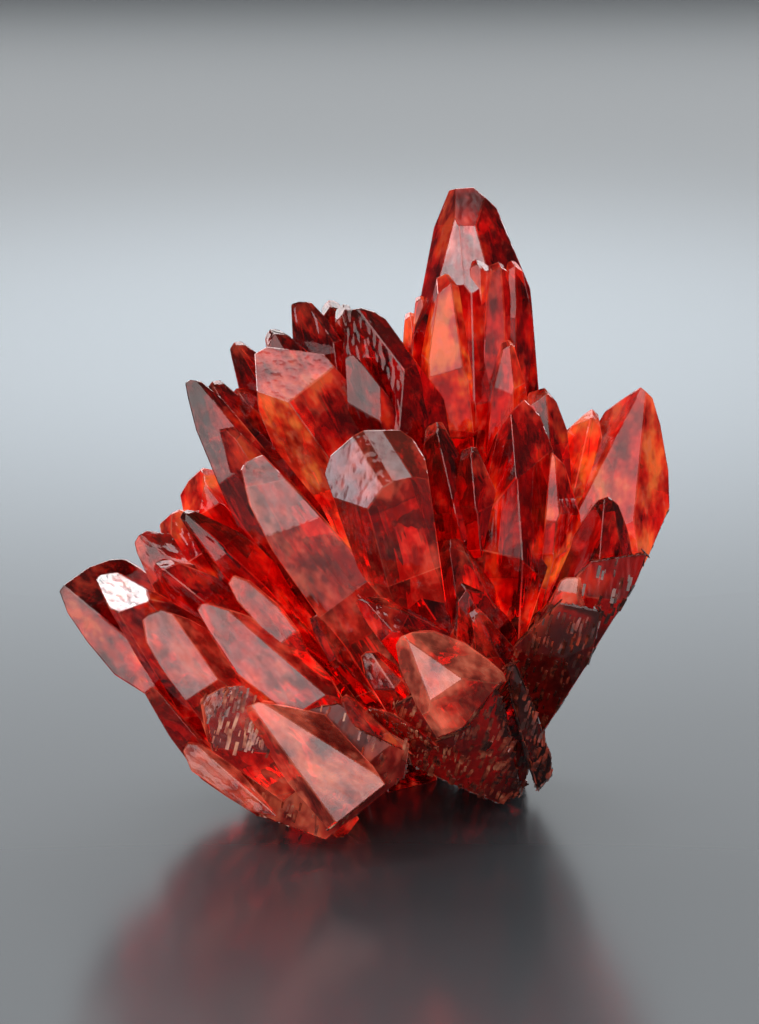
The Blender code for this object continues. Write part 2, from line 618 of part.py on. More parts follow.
def broken_root():
    """The rough root that the crystals share: two lobes with an arch between them, and its far side."""
    lump(
        "root_left",
        (
            (-8, -0.4), (-9.6, -0.2), (-15, 3.7), (-19.7, 5.4), (-21.9, 8.7), (-17.5, 15),
            (-5, 17.5), (3.7, 12.5), (3.1, 8.4), (-3.7, 3),
        ),
        -22, -4,
    )
    lump(
        "root_left_far",
        ((-7, 4.5), (-14, 6), (-19, 12), (-12, 18), (0, 16), (3, 12), (2, 10), (-2.5, 7)),
        -8, 6,
    )
    lump(
        "root_middle",
        ((14.6, 5), (8.7, 7.6), (4, 9.9), (1.9, 17.5), (10, 22), (15, 19), (16.3, 12.5), (18, 6.2)),
        -22, 2, 25,
    )
    lump(
        "root_rim",
        (
            (19.5, 6.8), (18.6, 10), (16.3, 17), (15.6, 22), (17, 22.5), (18.7, 17.5), (21, 12),
            (21, 8.7),
        ),
        -22, 2, 12,
    )
    lump(
        "root_right",
        ((18.7, 12), (16, 17.5), (16, 24), (22, 30), (27, 29), (25.6, 23), (20.6, 14.6)),
        -15.5, 8, 14,
    )
    lump(
        "root_right_upper",
        ((20, 20), (19, 28), (26, 35), (33, 36), (31.6, 32.6), (23, 18.5)),
        -12.5, 9, 8,
    )
    lump(
        "root_right_far",
        ((16, 13), (15, 30), (24, 34), (29, 33), (26.5, 27), (20, 15)),
        3, 15,
    )
    lump(
        "root_right_foot",
        ((15, 6), (9, 8), (6, 13), (10, 20), (17, 21), (19, 12), (18, 7)),
        -4, 11,
    )
    lump(
        "root_back",
        ((-9, 11), (-12, 16), (-8, 24), (10, 30), (20, 26), (18, 12), (14, 9.5)),
        -4, 14,
    )
    lump(
        "root_heel",
        ((-8, 7.5), (-11, 14), (-6, 22), (6, 22), (10, 14), (4, 8.5)),
        10, 20, -10,
    )


spire_group()
right_group()
middle_group()
left_group()
front_group()
hidden_group()
broken_root()


def grow_together(name):
    """Joins every crystal and lump into one solid that stands centred on the origin, in metres."""
    first, *others = grown.objects
    for other in others:
        union = first.modifiers.new("Grown into " + other.name, "BOOLEAN")
        union.operation = "UNION"
        union.solver = "EXACT"
        union.object = other
    whole = first.evaluated_get(bpy.context.evaluated_depsgraph_get())
    mesh = bpy.data.meshes.new_from_object(whole)
    mesh.name = name
    body = bmesh.new()
    body.from_mesh(mesh)
    to_follow = [max(body.verts, key=lambda corner: corner.co.z)]
    outside = set(to_follow)
    while to_follow:
        for edge in to_follow.pop().link_edges:
            for corner in edge.verts:
                if corner not in outside:
                    outside.add(corner)
                    to_follow.append(corner)
    bmesh.ops.delete(body, geom=[corner for corner in body.verts if corner not in outside], context="VERTS")
    low = Vector(min(corner.co[axis] for corner in body.verts) for axis in range(3))
    high = Vector(max(corner.co[axis] for corner in body.verts) for axis in range(3))
    stand = Vector(((low.x + high.x) / 2, (low.y + high.y) / 2, low.z))
    bmesh.ops.translate(body, vec=-stand, verts=body.verts)
    bmesh.ops.scale(body, vec=(MM, MM, MM), verts=body.verts)
    body.to_mesh(mesh)
    body.free()
    return bpy.data.objects.new(name, mesh), stand


def mineral():
    """Clear, deep red rhodochrosite."""
    made = bpy.data.materials.new("rhodochrosite")
    made.use_nodes = True
    surface = made.node_tree.nodes["Principled BSDF"]
    surface.inputs["Base Color"].default_value = (0.55, 0.03, 0.015, 1)
    surface.inputs["Roughness"].default_value = 0.12
    surface.inputs["Metallic"].default_value = 0
    surface.inputs["IOR"].default_value = 1.7
    return made


cluster, CENTRE_SHIFT = grow_together("rhodochrosite_cluster")
cluster.data.materials.append(mineral())
finished = bpy.data.collections.new("rhodochrosite")
bpy.context.scene.collection.children.link(finished)
finished.objects.link(cluster)
grown.hide_render = True
for crystal_piece in grown.objects:
    crystal_piece.hide_render = True
    crystal_piece.display_type = "WIRE"
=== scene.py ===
"""The looks of a rhodochrosite cluster: clear red crystals fanned out from one broken root."""

import json
import math
import random

import bmesh
import bpy
from mathutils import Matrix, Vector

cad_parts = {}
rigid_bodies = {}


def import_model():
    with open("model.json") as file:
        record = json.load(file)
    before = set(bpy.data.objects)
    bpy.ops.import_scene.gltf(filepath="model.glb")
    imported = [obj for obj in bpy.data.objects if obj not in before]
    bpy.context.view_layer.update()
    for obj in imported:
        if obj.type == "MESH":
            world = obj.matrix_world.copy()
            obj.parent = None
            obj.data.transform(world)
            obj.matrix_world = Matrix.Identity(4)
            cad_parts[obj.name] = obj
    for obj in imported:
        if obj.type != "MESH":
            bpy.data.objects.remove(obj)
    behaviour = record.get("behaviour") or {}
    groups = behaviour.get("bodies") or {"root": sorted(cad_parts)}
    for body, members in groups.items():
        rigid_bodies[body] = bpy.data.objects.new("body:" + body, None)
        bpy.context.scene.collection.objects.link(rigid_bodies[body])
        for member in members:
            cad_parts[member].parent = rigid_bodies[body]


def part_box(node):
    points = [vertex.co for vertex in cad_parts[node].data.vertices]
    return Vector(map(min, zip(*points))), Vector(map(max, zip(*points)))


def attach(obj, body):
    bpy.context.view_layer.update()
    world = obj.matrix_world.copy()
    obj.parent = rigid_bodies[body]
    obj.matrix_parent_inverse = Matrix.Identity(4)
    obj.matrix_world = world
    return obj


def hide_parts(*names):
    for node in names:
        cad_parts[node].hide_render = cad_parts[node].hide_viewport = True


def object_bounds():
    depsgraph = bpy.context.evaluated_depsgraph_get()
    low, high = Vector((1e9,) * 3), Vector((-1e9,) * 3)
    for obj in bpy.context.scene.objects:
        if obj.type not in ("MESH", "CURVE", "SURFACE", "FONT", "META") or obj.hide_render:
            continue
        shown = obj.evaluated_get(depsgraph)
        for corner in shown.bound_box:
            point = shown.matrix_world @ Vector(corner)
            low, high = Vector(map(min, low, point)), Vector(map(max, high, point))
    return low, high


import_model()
solid_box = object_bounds()


# The view
# The cluster is looked at from its front and a little above, with a long lens. Crystals are placed
# in this view as (right, up, back) in millimetres, where back is how far away a point lies.
MM = 0.001
VIEW_DOWN = math.radians(15)
VIEW_DISTANCE = 480
VIEW_HEIGHT = 128
VIEW_CENTRE = Vector((1.75, 0, 38.5))
VIEW_CENTRE_UP = 41
STAND = Vector((0.2, -1.16, 0.5))
FILM = 36

view_right = Vector((1, 0, 0))
view_up = Vector((0, math.sin(VIEW_DOWN), math.cos(VIEW_DOWN)))
view_near = Vector((0, -math.cos(VIEW_DOWN), math.sin(VIEW_DOWN)))
eye = VIEW_CENTRE + view_near * VIEW_DISTANCE

lens = bpy.data.cameras.new("view")
lens.sensor_width = FILM
lens.lens = FILM * VIEW_DISTANCE / VIEW_HEIGHT
lens.clip_start = 0.01
lens.clip_end = 20
camera = bpy.data.objects.new("view", lens)
camera.matrix_world = (
    Matrix.Translation((eye - STAND) * MM) @ Matrix((view_right, view_up, view_near)).transposed().to_4x4()
)
bpy.context.scene.collection.objects.link(camera)
bpy.context.scene.camera = camera


def seen(right, up, back):
    """The point that shows this far right and this far up in the view, and lies this far back."""
    ray = VIEW_CENTRE + view_right * right + view_up * (up - VIEW_CENTRE_UP) - eye
    return eye + ray * ((back - eye.y) / ray.y)


# The tall crystals at the top
# One thick crystal ends in a pitted cap, and thinner columns grew along it. Each crystal is a steep
# scalenohedron: flat faces in three pairs round an axis, cleaved here from a block, with worn edges.
BLOCK = 400
CAP_ANGLE = 47
BELLY_ANGLE = 5
ROOT_ANGLE = -7
HALF_PAIR = 23
FRONT_ROOM = 1.25
WIDE_ROOM = 1.6
ROUGH_LEAN = 20
ROUGH_STEP = 1.0
FLOOR = 0.5
WORN_WIDTH = 0.16
WORN_FROM = math.radians(9)
SHORT_EDGE = 0.25
FACE_DIFFERENCE = 0.16

# How a face is finished: how much it shines like a pearl, its roughness, how pitted it is, how
# thickly small cleaved steps stand on it, and how brown and broken it is.
MARKS = ("pearl", "rough", "pits", "steps", "broken")
CLEAR = (0.0, 0.0, 0.0, 0.0, 0.0)
SILKY = (0.45, 0.03, 0.05, 0.0, 0.0)
PEARLY = (1.0, 0.04, 0.03, 0.0, 0.0)
PITTED = (0.1, 0.32, 1.0, 0.0, 0.0)
ETCHED = (0.1, 0.22, 1.0, 1.0, 0.25)
BROKEN = (0.0, 0.3, 0.7, 0.8, 0.75)

grown = bpy.data.collections.new("grown_crystals")
bpy.context.scene.collection.children.link(grown)


def block():
    """A block to cleave a crystal or a lump from, whose faces can carry their finish."""
    body = bmesh.new()
    for mark in (*MARKS, "worn_and_painted_highlight", "painted_glow", "milk_and_painted_glow"):
        body.faces.layers.float.new(mark)
    for way in ("axis", "tip"):
        body.faces.layers.float_vector.new(way)
    bmesh.ops.create_cube(body, size=BLOCK)
    return body


def cleave(body, point, normal, finish=CLEAR, worn_and_painted_highlight=0):
    """Takes off everything beyond a plane, and closes the cut with one flat face of that finish."""
    cut = bmesh.ops.bisect_plane(
        body,
        geom=body.verts[:] + body.edges[:] + body.faces[:],
        dist=1e-5,
        plane_co=point,
        plane_no=normal,
        clear_outer=True,
    )
    rim = [part for part in cut["geom_cut"] if isinstance(part, bmesh.types.BMEdge) and part.is_boundary]
    if rim:
        for face in bmesh.ops.contextual_create(body, geom=rim)["faces"]:
            for mark, value in zip(MARKS, finish):
                face[body.faces.layers.float[mark]] = value
            face[body.faces.layers.float["worn_and_painted_highlight"]] = worn_and_painted_highlight


def seen_plane(start, end, lean):
    """A plane through two points of the view, as a point on it and its normal.

    Looking from start to end, a lean of 0 faces left, 90 faces the viewer and 180 faces right.
    """
    first, last = seen(*start), seen(*end)
    along = (last - first).normalized()
    towards = (view_near - along * view_near.dot(along)).normalized()
    left = towards.cross(along)
    angle = math.radians(lean)
    return first, left * math.cos(angle) + towards * math.sin(angle)


def trim(body, outline, back, rough=0, chance=None):
    """Cleaves the body along an outline of the view, which goes round it clockwise."""
    for start, end in zip(outline, outline[1:]):
        lean = chance.uniform(-rough, rough) if rough else 0
        point, normal = seen_plane((*start, back), (*end, back), lean)
        if rough:
            point = point - normal * chance.uniform(0, ROUGH_STEP)
        cleave(body, point, normal, BROKEN if rough else CLEAR)


def wear_edges(body, chance):
    """Takes the sharp edge off wherever two faces meet, by a little more in one place than another."""
    bmesh.ops.recalc_face_normals(body, faces=body.faces)
    body.normal_update()
    cuts = []
    for edge in body.edges:
        one, other = edge.link_faces
        angle = one.normal.angle(other.normal)
        width = WORN_WIDTH * chance.uniform(0.5, 1.5)
        if angle > WORN_FROM and edge.calc_length() > SHORT_EDGE:
            normal = (one.normal + other.normal).normalized()
            middle = (edge.verts[0].co + edge.verts[1].co) / 2
            layers = [body.faces.layers.float[mark] for mark in MARKS]
            finish = [(one[layer] + other[layer]) / 2 for layer in layers]
            cuts.append((middle - normal * width / 2 * math.tan(angle / 2), normal, finish))
    # Each cut face is marked, and the mineral paints these faces paler, a painted highlight along the worn
    # edge.
    for point, normal, finish in cuts:
        cleave(body, point, normal, finish, worn_and_painted_highlight=1)


def piece(name, body, tip, axis, painted_glow, milk_and_painted_glow=0, broken=None, steps=0):
    """Makes an object of the body, in the collection of pieces to be joined."""
    cleave(body, Vector((0, 0, FLOOR)), Vector((0, 0, -1)), BROKEN)
    chance = random.Random(name + " wear")
    wear_edges(body, chance)
    bmesh.ops.recalc_face_normals(body, faces=body.faces)
    for face in body.faces:
        # Each face carries its crystal's painted inner brightness, which stands in for light shining
        # through it, a little more or less at random.
        face[body.faces.layers.float["painted_glow"]] = painted_glow + chance.uniform(-FACE_DIFFERENCE, FACE_DIFFERENCE)
        face[body.faces.layers.float["milk_and_painted_glow"]] = milk_and_painted_glow
        if broken is not None:
            face[body.faces.layers.float["broken"]] = broken
            face[body.faces.layers.float["steps"]] = steps
        face[body.faces.layers.float_vector["axis"]] = axis
        face[body.faces.layers.float_vector["tip"]] = tip
    mesh = bpy.data.meshes.new(name)
    body.to_mesh(mesh)
    body.free()
    grown.objects.link(bpy.data.objects.new(name, mesh))


def crystal(
    name, tip, root, width, painted_glow=0.35, milk_and_painted_glow=0, turn=0, steep=17, blunt=0.13, room=FRONT_ROOM,
    rim=(), front=(), broken=(),
):
    """One crystal from its tip to where its axis meets the root.

    tip and root are (right, up, back) in the view. glow is how bright its inside is painted, from
    dark red to orange: it shifts its colour, and it makes the crystal give off light of its own,
    painted light that stands in for light shining through it. milk is how cloudy and pale it is,
    and it adds a little to that painted light. turn swings the faces round the axis, and at 0
    the edge between a pair of faces looks at the viewer. steep is the angle between the upper faces
    and the axis, and blunt the radius of the tip as a share of the width. rim is the outline as the
    viewer sees it, clockwise, as points (right, up), and broken the outline that it is broken off
    along. Each of front is a face on the viewer's side, as seen_plane takes it, with its finish
    where it isn't clear.
    """
    top, bottom = seen(*tip), seen(*root)
    axis = (top - bottom).normalized()
    length = (top - bottom).length
    towards = (view_near - axis * view_near.dot(axis)).normalized()
    side = axis.cross(towards)
    chance = random.Random(name)
    radius = width / 2
    tip_radius = width * blunt
    body = block()

    def face(swing, angle, reach, height):
        """A face whose normal swings this far round the axis, this far out at that height."""
        swing, angle = math.radians(swing), math.radians(angle)
        outward = Vector((math.cos(swing), math.sin(swing), 0))
        normal = outward * math.cos(angle) + Vector((0, 0, math.sin(angle)))
        cleave(body, outward * reach + Vector((0, 0, height)), normal)

    shoulder = -(radius - tip_radius) / math.tan(math.radians(steep))
    waist = min(shoulder - 0.3 * radius, -0.45 * length)
    waist_radius = radius + math.tan(math.radians(BELLY_ANGLE)) * (shoulder - waist)
    for pair in range(3):
        between = turn + 60 + 120 * pair
        if not front or math.cos(math.radians(between)) < 0:
            face(between, CAP_ANGLE, 0, tip_radius * chance.uniform(0, 0.7))
        for hand in (-1, 1):
            swing = turn + 120 * pair + hand * HALF_PAIR
            out = chance.uniform(0.86, 1.08)
            if front and math.cos(math.radians(swing)) > 0:
                out *= room
            else:
                face(swing + chance.uniform(-3, 3), steep + chance.uniform(-2, 2), tip_radius * out, 0)
            face(swing + chance.uniform(-3, 3), BELLY_ANGLE, radius * out, shoulder)
            face(swing, ROOT_ANGLE, waist_radius * out, waist)
    cleave(body, Vector((0, 0, -length)), Vector((0, 0, -1)))
    place = Matrix.Translation(top) @ Matrix((towards, side, axis)).transposed().to_4x4()
    bmesh.ops.transform(body, matrix=place, verts=body.verts)
    trim(body, rim, (tip[2] + root[2]) / 2)
    trim(body, broken, root[2])
    trim(body, broken, root[2], ROUGH_LEAN, chance)
    for start, end, lean, *finish in front:
        cleave(body, *seen_plane(start, end, lean), *finish)
    piece(name, body, top, axis, painted_glow, milk_and_painted_glow)


crystal(
    "spire", (11.1, 81.6, 8), (12.5, 30, 8), 12.4, painted_glow=0.42, steep=22, blunt=0.2,
    rim=((5.1, 67.5), (6.9, 76.9), (8.6, 81.3), (11.8, 81.6), (14.6, 79), (18.7, 68.7), (19.6, 56.9)),
    front=(
        ((9, 76.7, 3.5), (14, 76.1, 3.8), 60, PITTED),
        ((7.5, 70.6, 2.2), (8.9, 76.5, 4.4), 24),
        ((10.5, 71.2, 1), (10, 76.5, 3.6), 66, PEARLY),
        ((10.5, 71.2, 1), (10, 76.5, 3.6), 100, PEARLY),
        ((13.9, 72.2, 2.4), (12.5, 76.5, 4.2), 128),
    ),
)
crystal("spire_left", (8.4, 70.6, 1), (11, 32, 6), 8.6, painted_glow=0.75, turn=20, steep=14)
crystal("spire_step", (5.2, 67.9, 4), (9, 32, 6), 5.5, painted_glow=0.8, steep=12)
crystal("spire_edge", (3.9, 66, 6), (8, 32, 8), 5, painted_glow=0.7, steep=12)
crystal("spire_middle", (12.5, 72.3, 1.5), (12.6, 32, 4), 3.4, painted_glow=0.5, steep=9, blunt=0.3)
crystal("spire_column", (14.7, 72, 0.8), (14.2, 32, 4), 3.4, painted_glow=0.55, turn=23, steep=8, blunt=0.28)
crystal("spire_right", (16.8, 72.2, 2), (15.8, 32, 4), 4, painted_glow=0.45, turn=23, steep=10, blunt=0.18)
crystal("spire_foot", (16, 62.3, -1), (15, 32, 3), 5, painted_glow=0.45, turn=23, steep=14)


# The crystals on the right
# Wide, clear crystals that lean out to the right and are broken off along their outer side.
RIGHT_BREAK = ((36.1, 40.6), (32.7, 34.6), (21, 14.6))

crystal(
    "right_front", (17.8, 55.2, -2), (16, 18, -2), 12.6, painted_glow=0.35, steep=20, blunt=0.12,
    rim=(
        (10.6, 38.7), (11, 42), (12.2, 46.9), (15, 51.5), (16.9, 54), (18.1, 55),
        (20, 53), (21.6, 48.7), (22.1, 42.5), (21.6, 36.9), (19.4, 30),
    ),
    front=(
        ((17.1, 31.2, -12.4), (17.1, 45, -9.8), 70, PEARLY),
        ((17.1, 31.2, -12.4), (17.1, 45, -9.8), 128),
        ((12.4, 36.9, -10.1), (15, 46.5, -8.4), 28),
        ((17.1, 45, -9.8), (16.5, 52.5, -6), 50, SILKY),
        ((17.1, 45, -9.8), (16.5, 52.5, -6), 116, SILKY),
    ),
)
crystal(
    "right_front_back", (20.4, 56.3, -1), (17, 18, 1), 10,
    painted_glow=0.35, turn=20, steep=20, broken=RIGHT_BREAK,
    rim=((17.5, 53.7), (18.4, 55.9), (20.6, 56.5), (22.1, 54.7), (23.4, 51.2), (23.7, 47.5)),
)
crystal(
    "right_orange", (26.6, 53.8, 2), (17.5, 18, 2), 10,
    painted_glow=0.75, turn=10, steep=19, broken=RIGHT_BREAK,
    rim=((20.6, 47.5), (22, 50), (25.6, 53.2), (26.6, 53.9), (27.4, 53.2), (27.8, 50)),
)
crystal(
    "right_fold", (21.4, 48.6, -7), (17.5, 24, -3), 8, painted_glow=0.65, turn=30, steep=20,
    rim=((19, 27.5), (20.9, 44), (21.3, 48.6), (24.4, 45.6), (26.5, 42.5), (27.2, 36)),
)
crystal(
    "right_outer", (32.9, 56.5, 4), (25, 18, 4), 13,
    painted_glow=0.6, milk_and_painted_glow=0.15, turn=30, steep=20, broken=RIGHT_BREAK,
    rim=(
        (24.4, 46.2), (26.2, 50.2), (28.1, 53.5), (30, 54.9), (32.5, 56.5), (34, 55.2),
        (35, 51.9), (36, 46.2), (36.1, 40.6),
    ),
    front=(
        ((26.2, 43.7, -2.5), (31.5, 54, 0.5), 48, SILKY),
        ((26.2, 43.7, -2.5), (31.5, 54, 0.5), 88),
        ((32.1, 45.2, -2.4), (33.5, 54.4, 0.9), 136, SILKY),
    ),
)
crystal(
    "right_dark", (28.4, 42.5, -6), (20.6, 17, -2), 11,
    painted_glow=0.3, turn=-10, steep=22, broken=RIGHT_BREAK,
    rim=(
        (18.7, 29.4), (22.5, 35.4), (25.6, 40.6), (27.2, 42.5), (28.4, 42.9), (29.7, 41.9),
        (31, 38.7), (31.6, 35), (31, 31.2),
    ),
    front=(
        ((27.1, 30, -11), (28, 41, -8.5), 52),
        ((27.1, 30, -11), (28, 41, -8.5), 112),
        ((31, 32.5, -9), (29.5, 41.5, -7.5), 150),
    ),
)
crystal(
    "right_low", (24.8, 32.5, -10), (20, 15, -6), 7,
    painted_glow=0.5, milk_and_painted_glow=0.5, turn=10, steep=20, broken=RIGHT_BREAK,
    rim=((19.4, 26), (22.5, 32.5), (23.2, 32.9), (25.4, 32.9), (26.2, 31), (26.6, 27.5), (26.2, 24)),
    front=(
        ((21, 26, -14), (23.5, 32, -12.5), 75, PEARLY),
        ((26, 26, -12.5), (25.5, 32, -12), 140),
    ),
)


# The fan in the middle
# Crystals between the tall ones and the left edge: one looks straight at the viewer, and a broad
# blade leans to the left.
crystal(
    "facing", (-1, 50.6, -16), (7, 24, -2), 13, painted_glow=0.15, milk_and_painted_glow=0.3, turn=-20, steep=24, blunt=0.3,
    rim=(
        (-5.6, 42.5), (-6.9, 46.2), (-6.6, 47.4), (-3.1, 50.4), (-1.9, 51), (2.5, 51.1),
        (4.1, 50), (5.6, 47.5), (6, 45.2), (7.5, 35),
    ),
    front=(
        ((1.5, 43.7, -22), (-2.5, 50.5, -18.5), 64, PEARLY),
        ((1.5, 43.7, -22), (-2.5, 50.5, -18.5), 100, PEARLY),
        ((1.5, 43.7, -21.75), (-2.5, 50.5, -18.25), 82),
        ((3.3, 44.6, -22), (-0.8, 50.9, -18.8), 124, SILKY),
        ((3.5, 43.4, -22), (-3.5, 41.6, -21), 58),
        ((-3.5, 41.6, -21), (-6.7, 46, -18.5), 38),
    ),
)
crystal(
    "blade", (-14.4, 48, -9.7), (3.8, 17.5, -6), 10,
    painted_glow=0.3, milk_and_painted_glow=0.4, turn=23, steep=20, blunt=0.2, room=WIDE_ROOM,
    rim=(
        (-7.7, 28.5), (-13.1, 36.2), (-16, 41.9), (-17.1, 46.2), (-16.7, 47.2), (-14.4, 48.1),
        (-11.9, 45.5), (-9.4, 42.9), (-5.6, 38.7), (0, 32.5),
    ),
    front=(
        ((-4.4, 31.2, -17.5), (-14.7, 45, -15.1), 90, PEARLY),
        ((0, 33, -17), (-10.5, 43.5, -15.7), 116),
        ((-16.2, 44.7, -14.9), (-12, 45.5, -14.6), 58, PEARLY),
    ),
)
crystal(
    "blade_back", (-18.8, 51.2, -7.5), (2.5, 18.8, -2), 7, painted_glow=0.25, steep=17,
    rim=((-12, 33), (-19.4, 46.2), (-20.4, 50), (-19.7, 51.2), (-18.1, 51.5), (-15.6, 49.4), (-10, 43)),
    front=(
        ((-12, 38, -13.5), (-18.5, 49.5, -11.2), 85, SILKY),
        ((-12, 38, -13.5), (-18.5, 49.5, -11.2), 108),
    ),
)
crystal(
    "upper_left", (-23.1, 57.4, -6.1), (0, 20, 0), 9, painted_glow=0.2, turn=10, steep=18,
    rim=(
        (-21, 47.2), (-22.7, 51.2), (-23.7, 55), (-24.1, 57), (-23.5, 57.4), (-22.1, 57.2),
        (-19.4, 55), (-16.2, 51.2),
    ),
    front=(
        ((-17.5, 51, -9.3), (-22.4, 56.9, -7), 74, SILKY),
        ((-17.5, 51, -9.3), (-22.4, 56.9, -7), 118),
    ),
)
crystal("upper_left_red", (-20.9, 57.1, -3), (2.5, 22, 0), 7, painted_glow=0.2, steep=16)
crystal("upper_left_behind", (-17.8, 56.3, 1), (2.5, 24, 2), 7, painted_glow=0.3, steep=18)
crystal(
    "orange_blunt", (-12, 61.5, -2), (6.3, 25, 2), 13.5, painted_glow=0.6, milk_and_painted_glow=0.15, steep=22, blunt=0.33,
    rim=(
        (-14.7, 51.2), (-16.7, 56.9), (-16.6, 60), (-14, 61.6), (-7, 60.7), (-3.7, 56.9),
        (-1, 52.5), (3, 45),
    ),
    front=(
        ((-14.4, 58.1, -5), (-5, 58.1, -5), 50, PEARLY),
        ((-6.2, 47.5, -8), (-11.2, 54.6, -8.6), 50),
        ((-6.2, 47.5, -8), (-11.2, 54.6, -8.6), 118),
    ),
)
crystal("crown_low", (-18, 62, 4), (2.5, 30, 4), 6.5, painted_glow=0.1, steep=18)
crystal("crown_light", (-13.4, 63.5, 3), (3.8, 30, 4), 7.5, painted_glow=0.2, turn=10, steep=18)
crystal(
    "crown_red", (-10, 67.3, 6), (5, 30, 6), 9, painted_glow=0.05, steep=20,
    rim=((-11.2, 61.2), (-11.2, 65.6), (-11, 66.9), (-10, 67.2), (-8.5, 67.1), (-6.2, 64.7), (-4.4, 62)),
    front=(
        ((-5.6, 62, 1.5), (-8.7, 66.7, 3.6), 66),
        ((-5.6, 62, 1.5), (-8.7, 66.7, 3.6), 116, SILKY),
    ),
)
crystal("crown_rough", (-6.3, 67.2, 8), (6.3, 30, 8), 7, painted_glow=0.1, steep=18)
crystal("crown_stub", (-4.6, 66.4, 5), (6.3, 30, 5), 3.6, painted_glow=0.2, steep=10, blunt=0.3)
crystal(
    "dark_shoulder", (-2.2, 66.4, 3), (8.8, 27.5, 4), 13.5, painted_glow=0.05, steep=20,
    rim=(
        (-5.5, 58), (-4.4, 66), (-2.2, 66.4), (-0.6, 65.9), (1.9, 64.2), (4, 61.9),
        (6.2, 59.4), (7.9, 55.6), (8.4, 52.5),
    ),
    front=(
        ((3.1, 58.7, -3.5), (-2.2, 65.7, 0.5), 72),
        ((3.1, 58.7, -3.5), (-2.2, 65.7, 0.5), 112, SILKY),
    ),
)
crystal(
    "dark_blade", (-3.6, 60.4, -3), (8.8, 28, 2), 5.5, painted_glow=0.2, steep=16,
    rim=((-4.6, 56), (-4.4, 60), (-3.7, 60.5), (-3, 60.4), (-0.9, 58.2), (0.7, 56.5), (4, 50)),
    front=(
        ((0, 54, -5.4), (-3.4, 60, -4), 80, SILKY),
    ),
)
crystal("dark_low", (6.9, 51.9, -7), (12.5, 24, -2), 7.5, painted_glow=0.1, steep=16)
crystal("dark_right", (11.3, 49.1, -8), (13.5, 24, -2), 7, painted_glow=0.1, steep=16)


# The crystals on the left
# A row of flat, overlapping crystals that reach out to the left.
crystal(
    "left_outer", (-38, 32.5, -6), (-10, 12, -2), 17, painted_glow=0.3, steep=30, blunt=0.25,
    rim=(
        (-28.7, 18.7), (-32.5, 21), (-36, 25), (-38.5, 28.5), (-39.6, 31.2), (-39, 32),
        (-36.2, 34.1), (-33.5, 35.1), (-31.6, 35.2), (-30, 34), (-25, 31),
    ),
    front=(
        ((-30, 24, -12), (-38.5, 31, -9), 82, SILKY),
        ((-30, 24, -12), (-38.5, 31, -9), 128, SILKY),
    ),
)
crystal(
    "left_white", (-35, 32.9, -13), (-11, 10.4, -5), 12, painted_glow=0.5, steep=24,
    rim=(
        (-24.4, 13.1), (-27.5, 18.7), (-31.2, 25), (-34, 29.4), (-35.1, 32.5), (-34.6, 33.2),
        (-32.5, 33.5), (-27, 30.6), (-21.9, 27.7), (-15, 22),
    ),
    front=(
        ((-27.5, 20, -15.5), (-32.7, 28.5, -16.8), 35),
        ((-27.5, 20, -15.5), (-32.7, 28.5, -16.8), 80, SILKY),
        ((-22, 27, -15.6), (-28.7, 30.2, -16.6), 134),
        ((-32.5, 28.5, -16.8), (-29, 30.2, -16.6), 60, PEARLY),
    ),
)
crystal(
    "left_broad", (-28.6, 28.3, -17.9), (-13.8, 8, -8), 9,
    painted_glow=0.35, milk_and_painted_glow=0.3, turn=-23, steep=20, room=WIDE_ROOM,
    rim=(
        (-23.1, 16.9), (-26.9, 21.9), (-28.7, 25), (-29.2, 27.7), (-28.5, 28.4), (-26.9, 29),
        (-21.9, 27.2), (-19.4, 23.7), (-16.2, 18.7),
    ),
    front=(
        ((-22, 18.5, -21), (-28, 27, -19.8), 92, PEARLY),
        ((-19, 18.7, -20.6), (-24.5, 26, -19.9), 138),
    ),
)
crystal(
    "left_long", (-21.5, 29.5, -16.6), (-5, 10, -10), 9.5,
    painted_glow=0.5, milk_and_painted_glow=0.3, turn=-23, steep=18, room=WIDE_ROOM,
    rim=(
        (-13.7, 18.1), (-17.5, 21), (-20.6, 25.6), (-22.5, 29), (-22.1, 29.6), (-21, 29.7),
        (-16.2, 28.1), (-10, 24.7), (-6.2, 20.6), (-4.4, 17.5),
    ),
    front=(
        ((-7, 17.5, -20), (-20.5, 28, -19.2), 92, PEARLY),
        ((-6.5, 18.3, -19.6), (-14.4, 25, -19.1), 134),
    ),
)
crystal(
    "left_short", (-18, 33.2, -15.2), (-3.8, 15, -6), 7.5,
    painted_glow=0.35, milk_and_painted_glow=0.3, turn=-23, steep=18, room=WIDE_ROOM,
    rim=(
        (-10.6, 23.7), (-14.7, 26.9), (-17.5, 30), (-18.6, 32.2), (-18, 33.2), (-16.2, 32.5),
        (-12.5, 29.4), (-10, 26.2), (-8.7, 23),
    ),
    front=(
        ((-10.5, 24.5, -18), (-17.5, 32, -17.2), 90, SILKY),
    ),
)
crystal(
    "left_brown", (-29.4, 38.1, -6.3), (-6.3, 18, 0), 10, painted_glow=0.3, milk_and_painted_glow=0.15, turn=10, steep=20,
    rim=(
        (-28.5, 33), (-29.9, 36), (-30.2, 37.2), (-29.7, 38.1), (-28.7, 38.7), (-25.6, 38.2),
        (-22.5, 35), (-17.5, 30),
    ),
    front=(
        ((-21, 31, -12), (-29, 37.5, -9.5), 78, SILKY),
        ((-21, 31, -12), (-29, 37.5, -9.5), 112),
    ),
)
crystal(
    "left_upper", (-26.6, 42.5, -6), (-5, 20, 0), 13, painted_glow=0.6, steep=34,
    rim=(
        (-30.3, 36.5), (-30.1, 37.6), (-28.5, 39.5), (-25.6, 40.9), (-25, 41.4), (-23.7, 41),
        (-19, 36), (-15, 31),
    ),
)
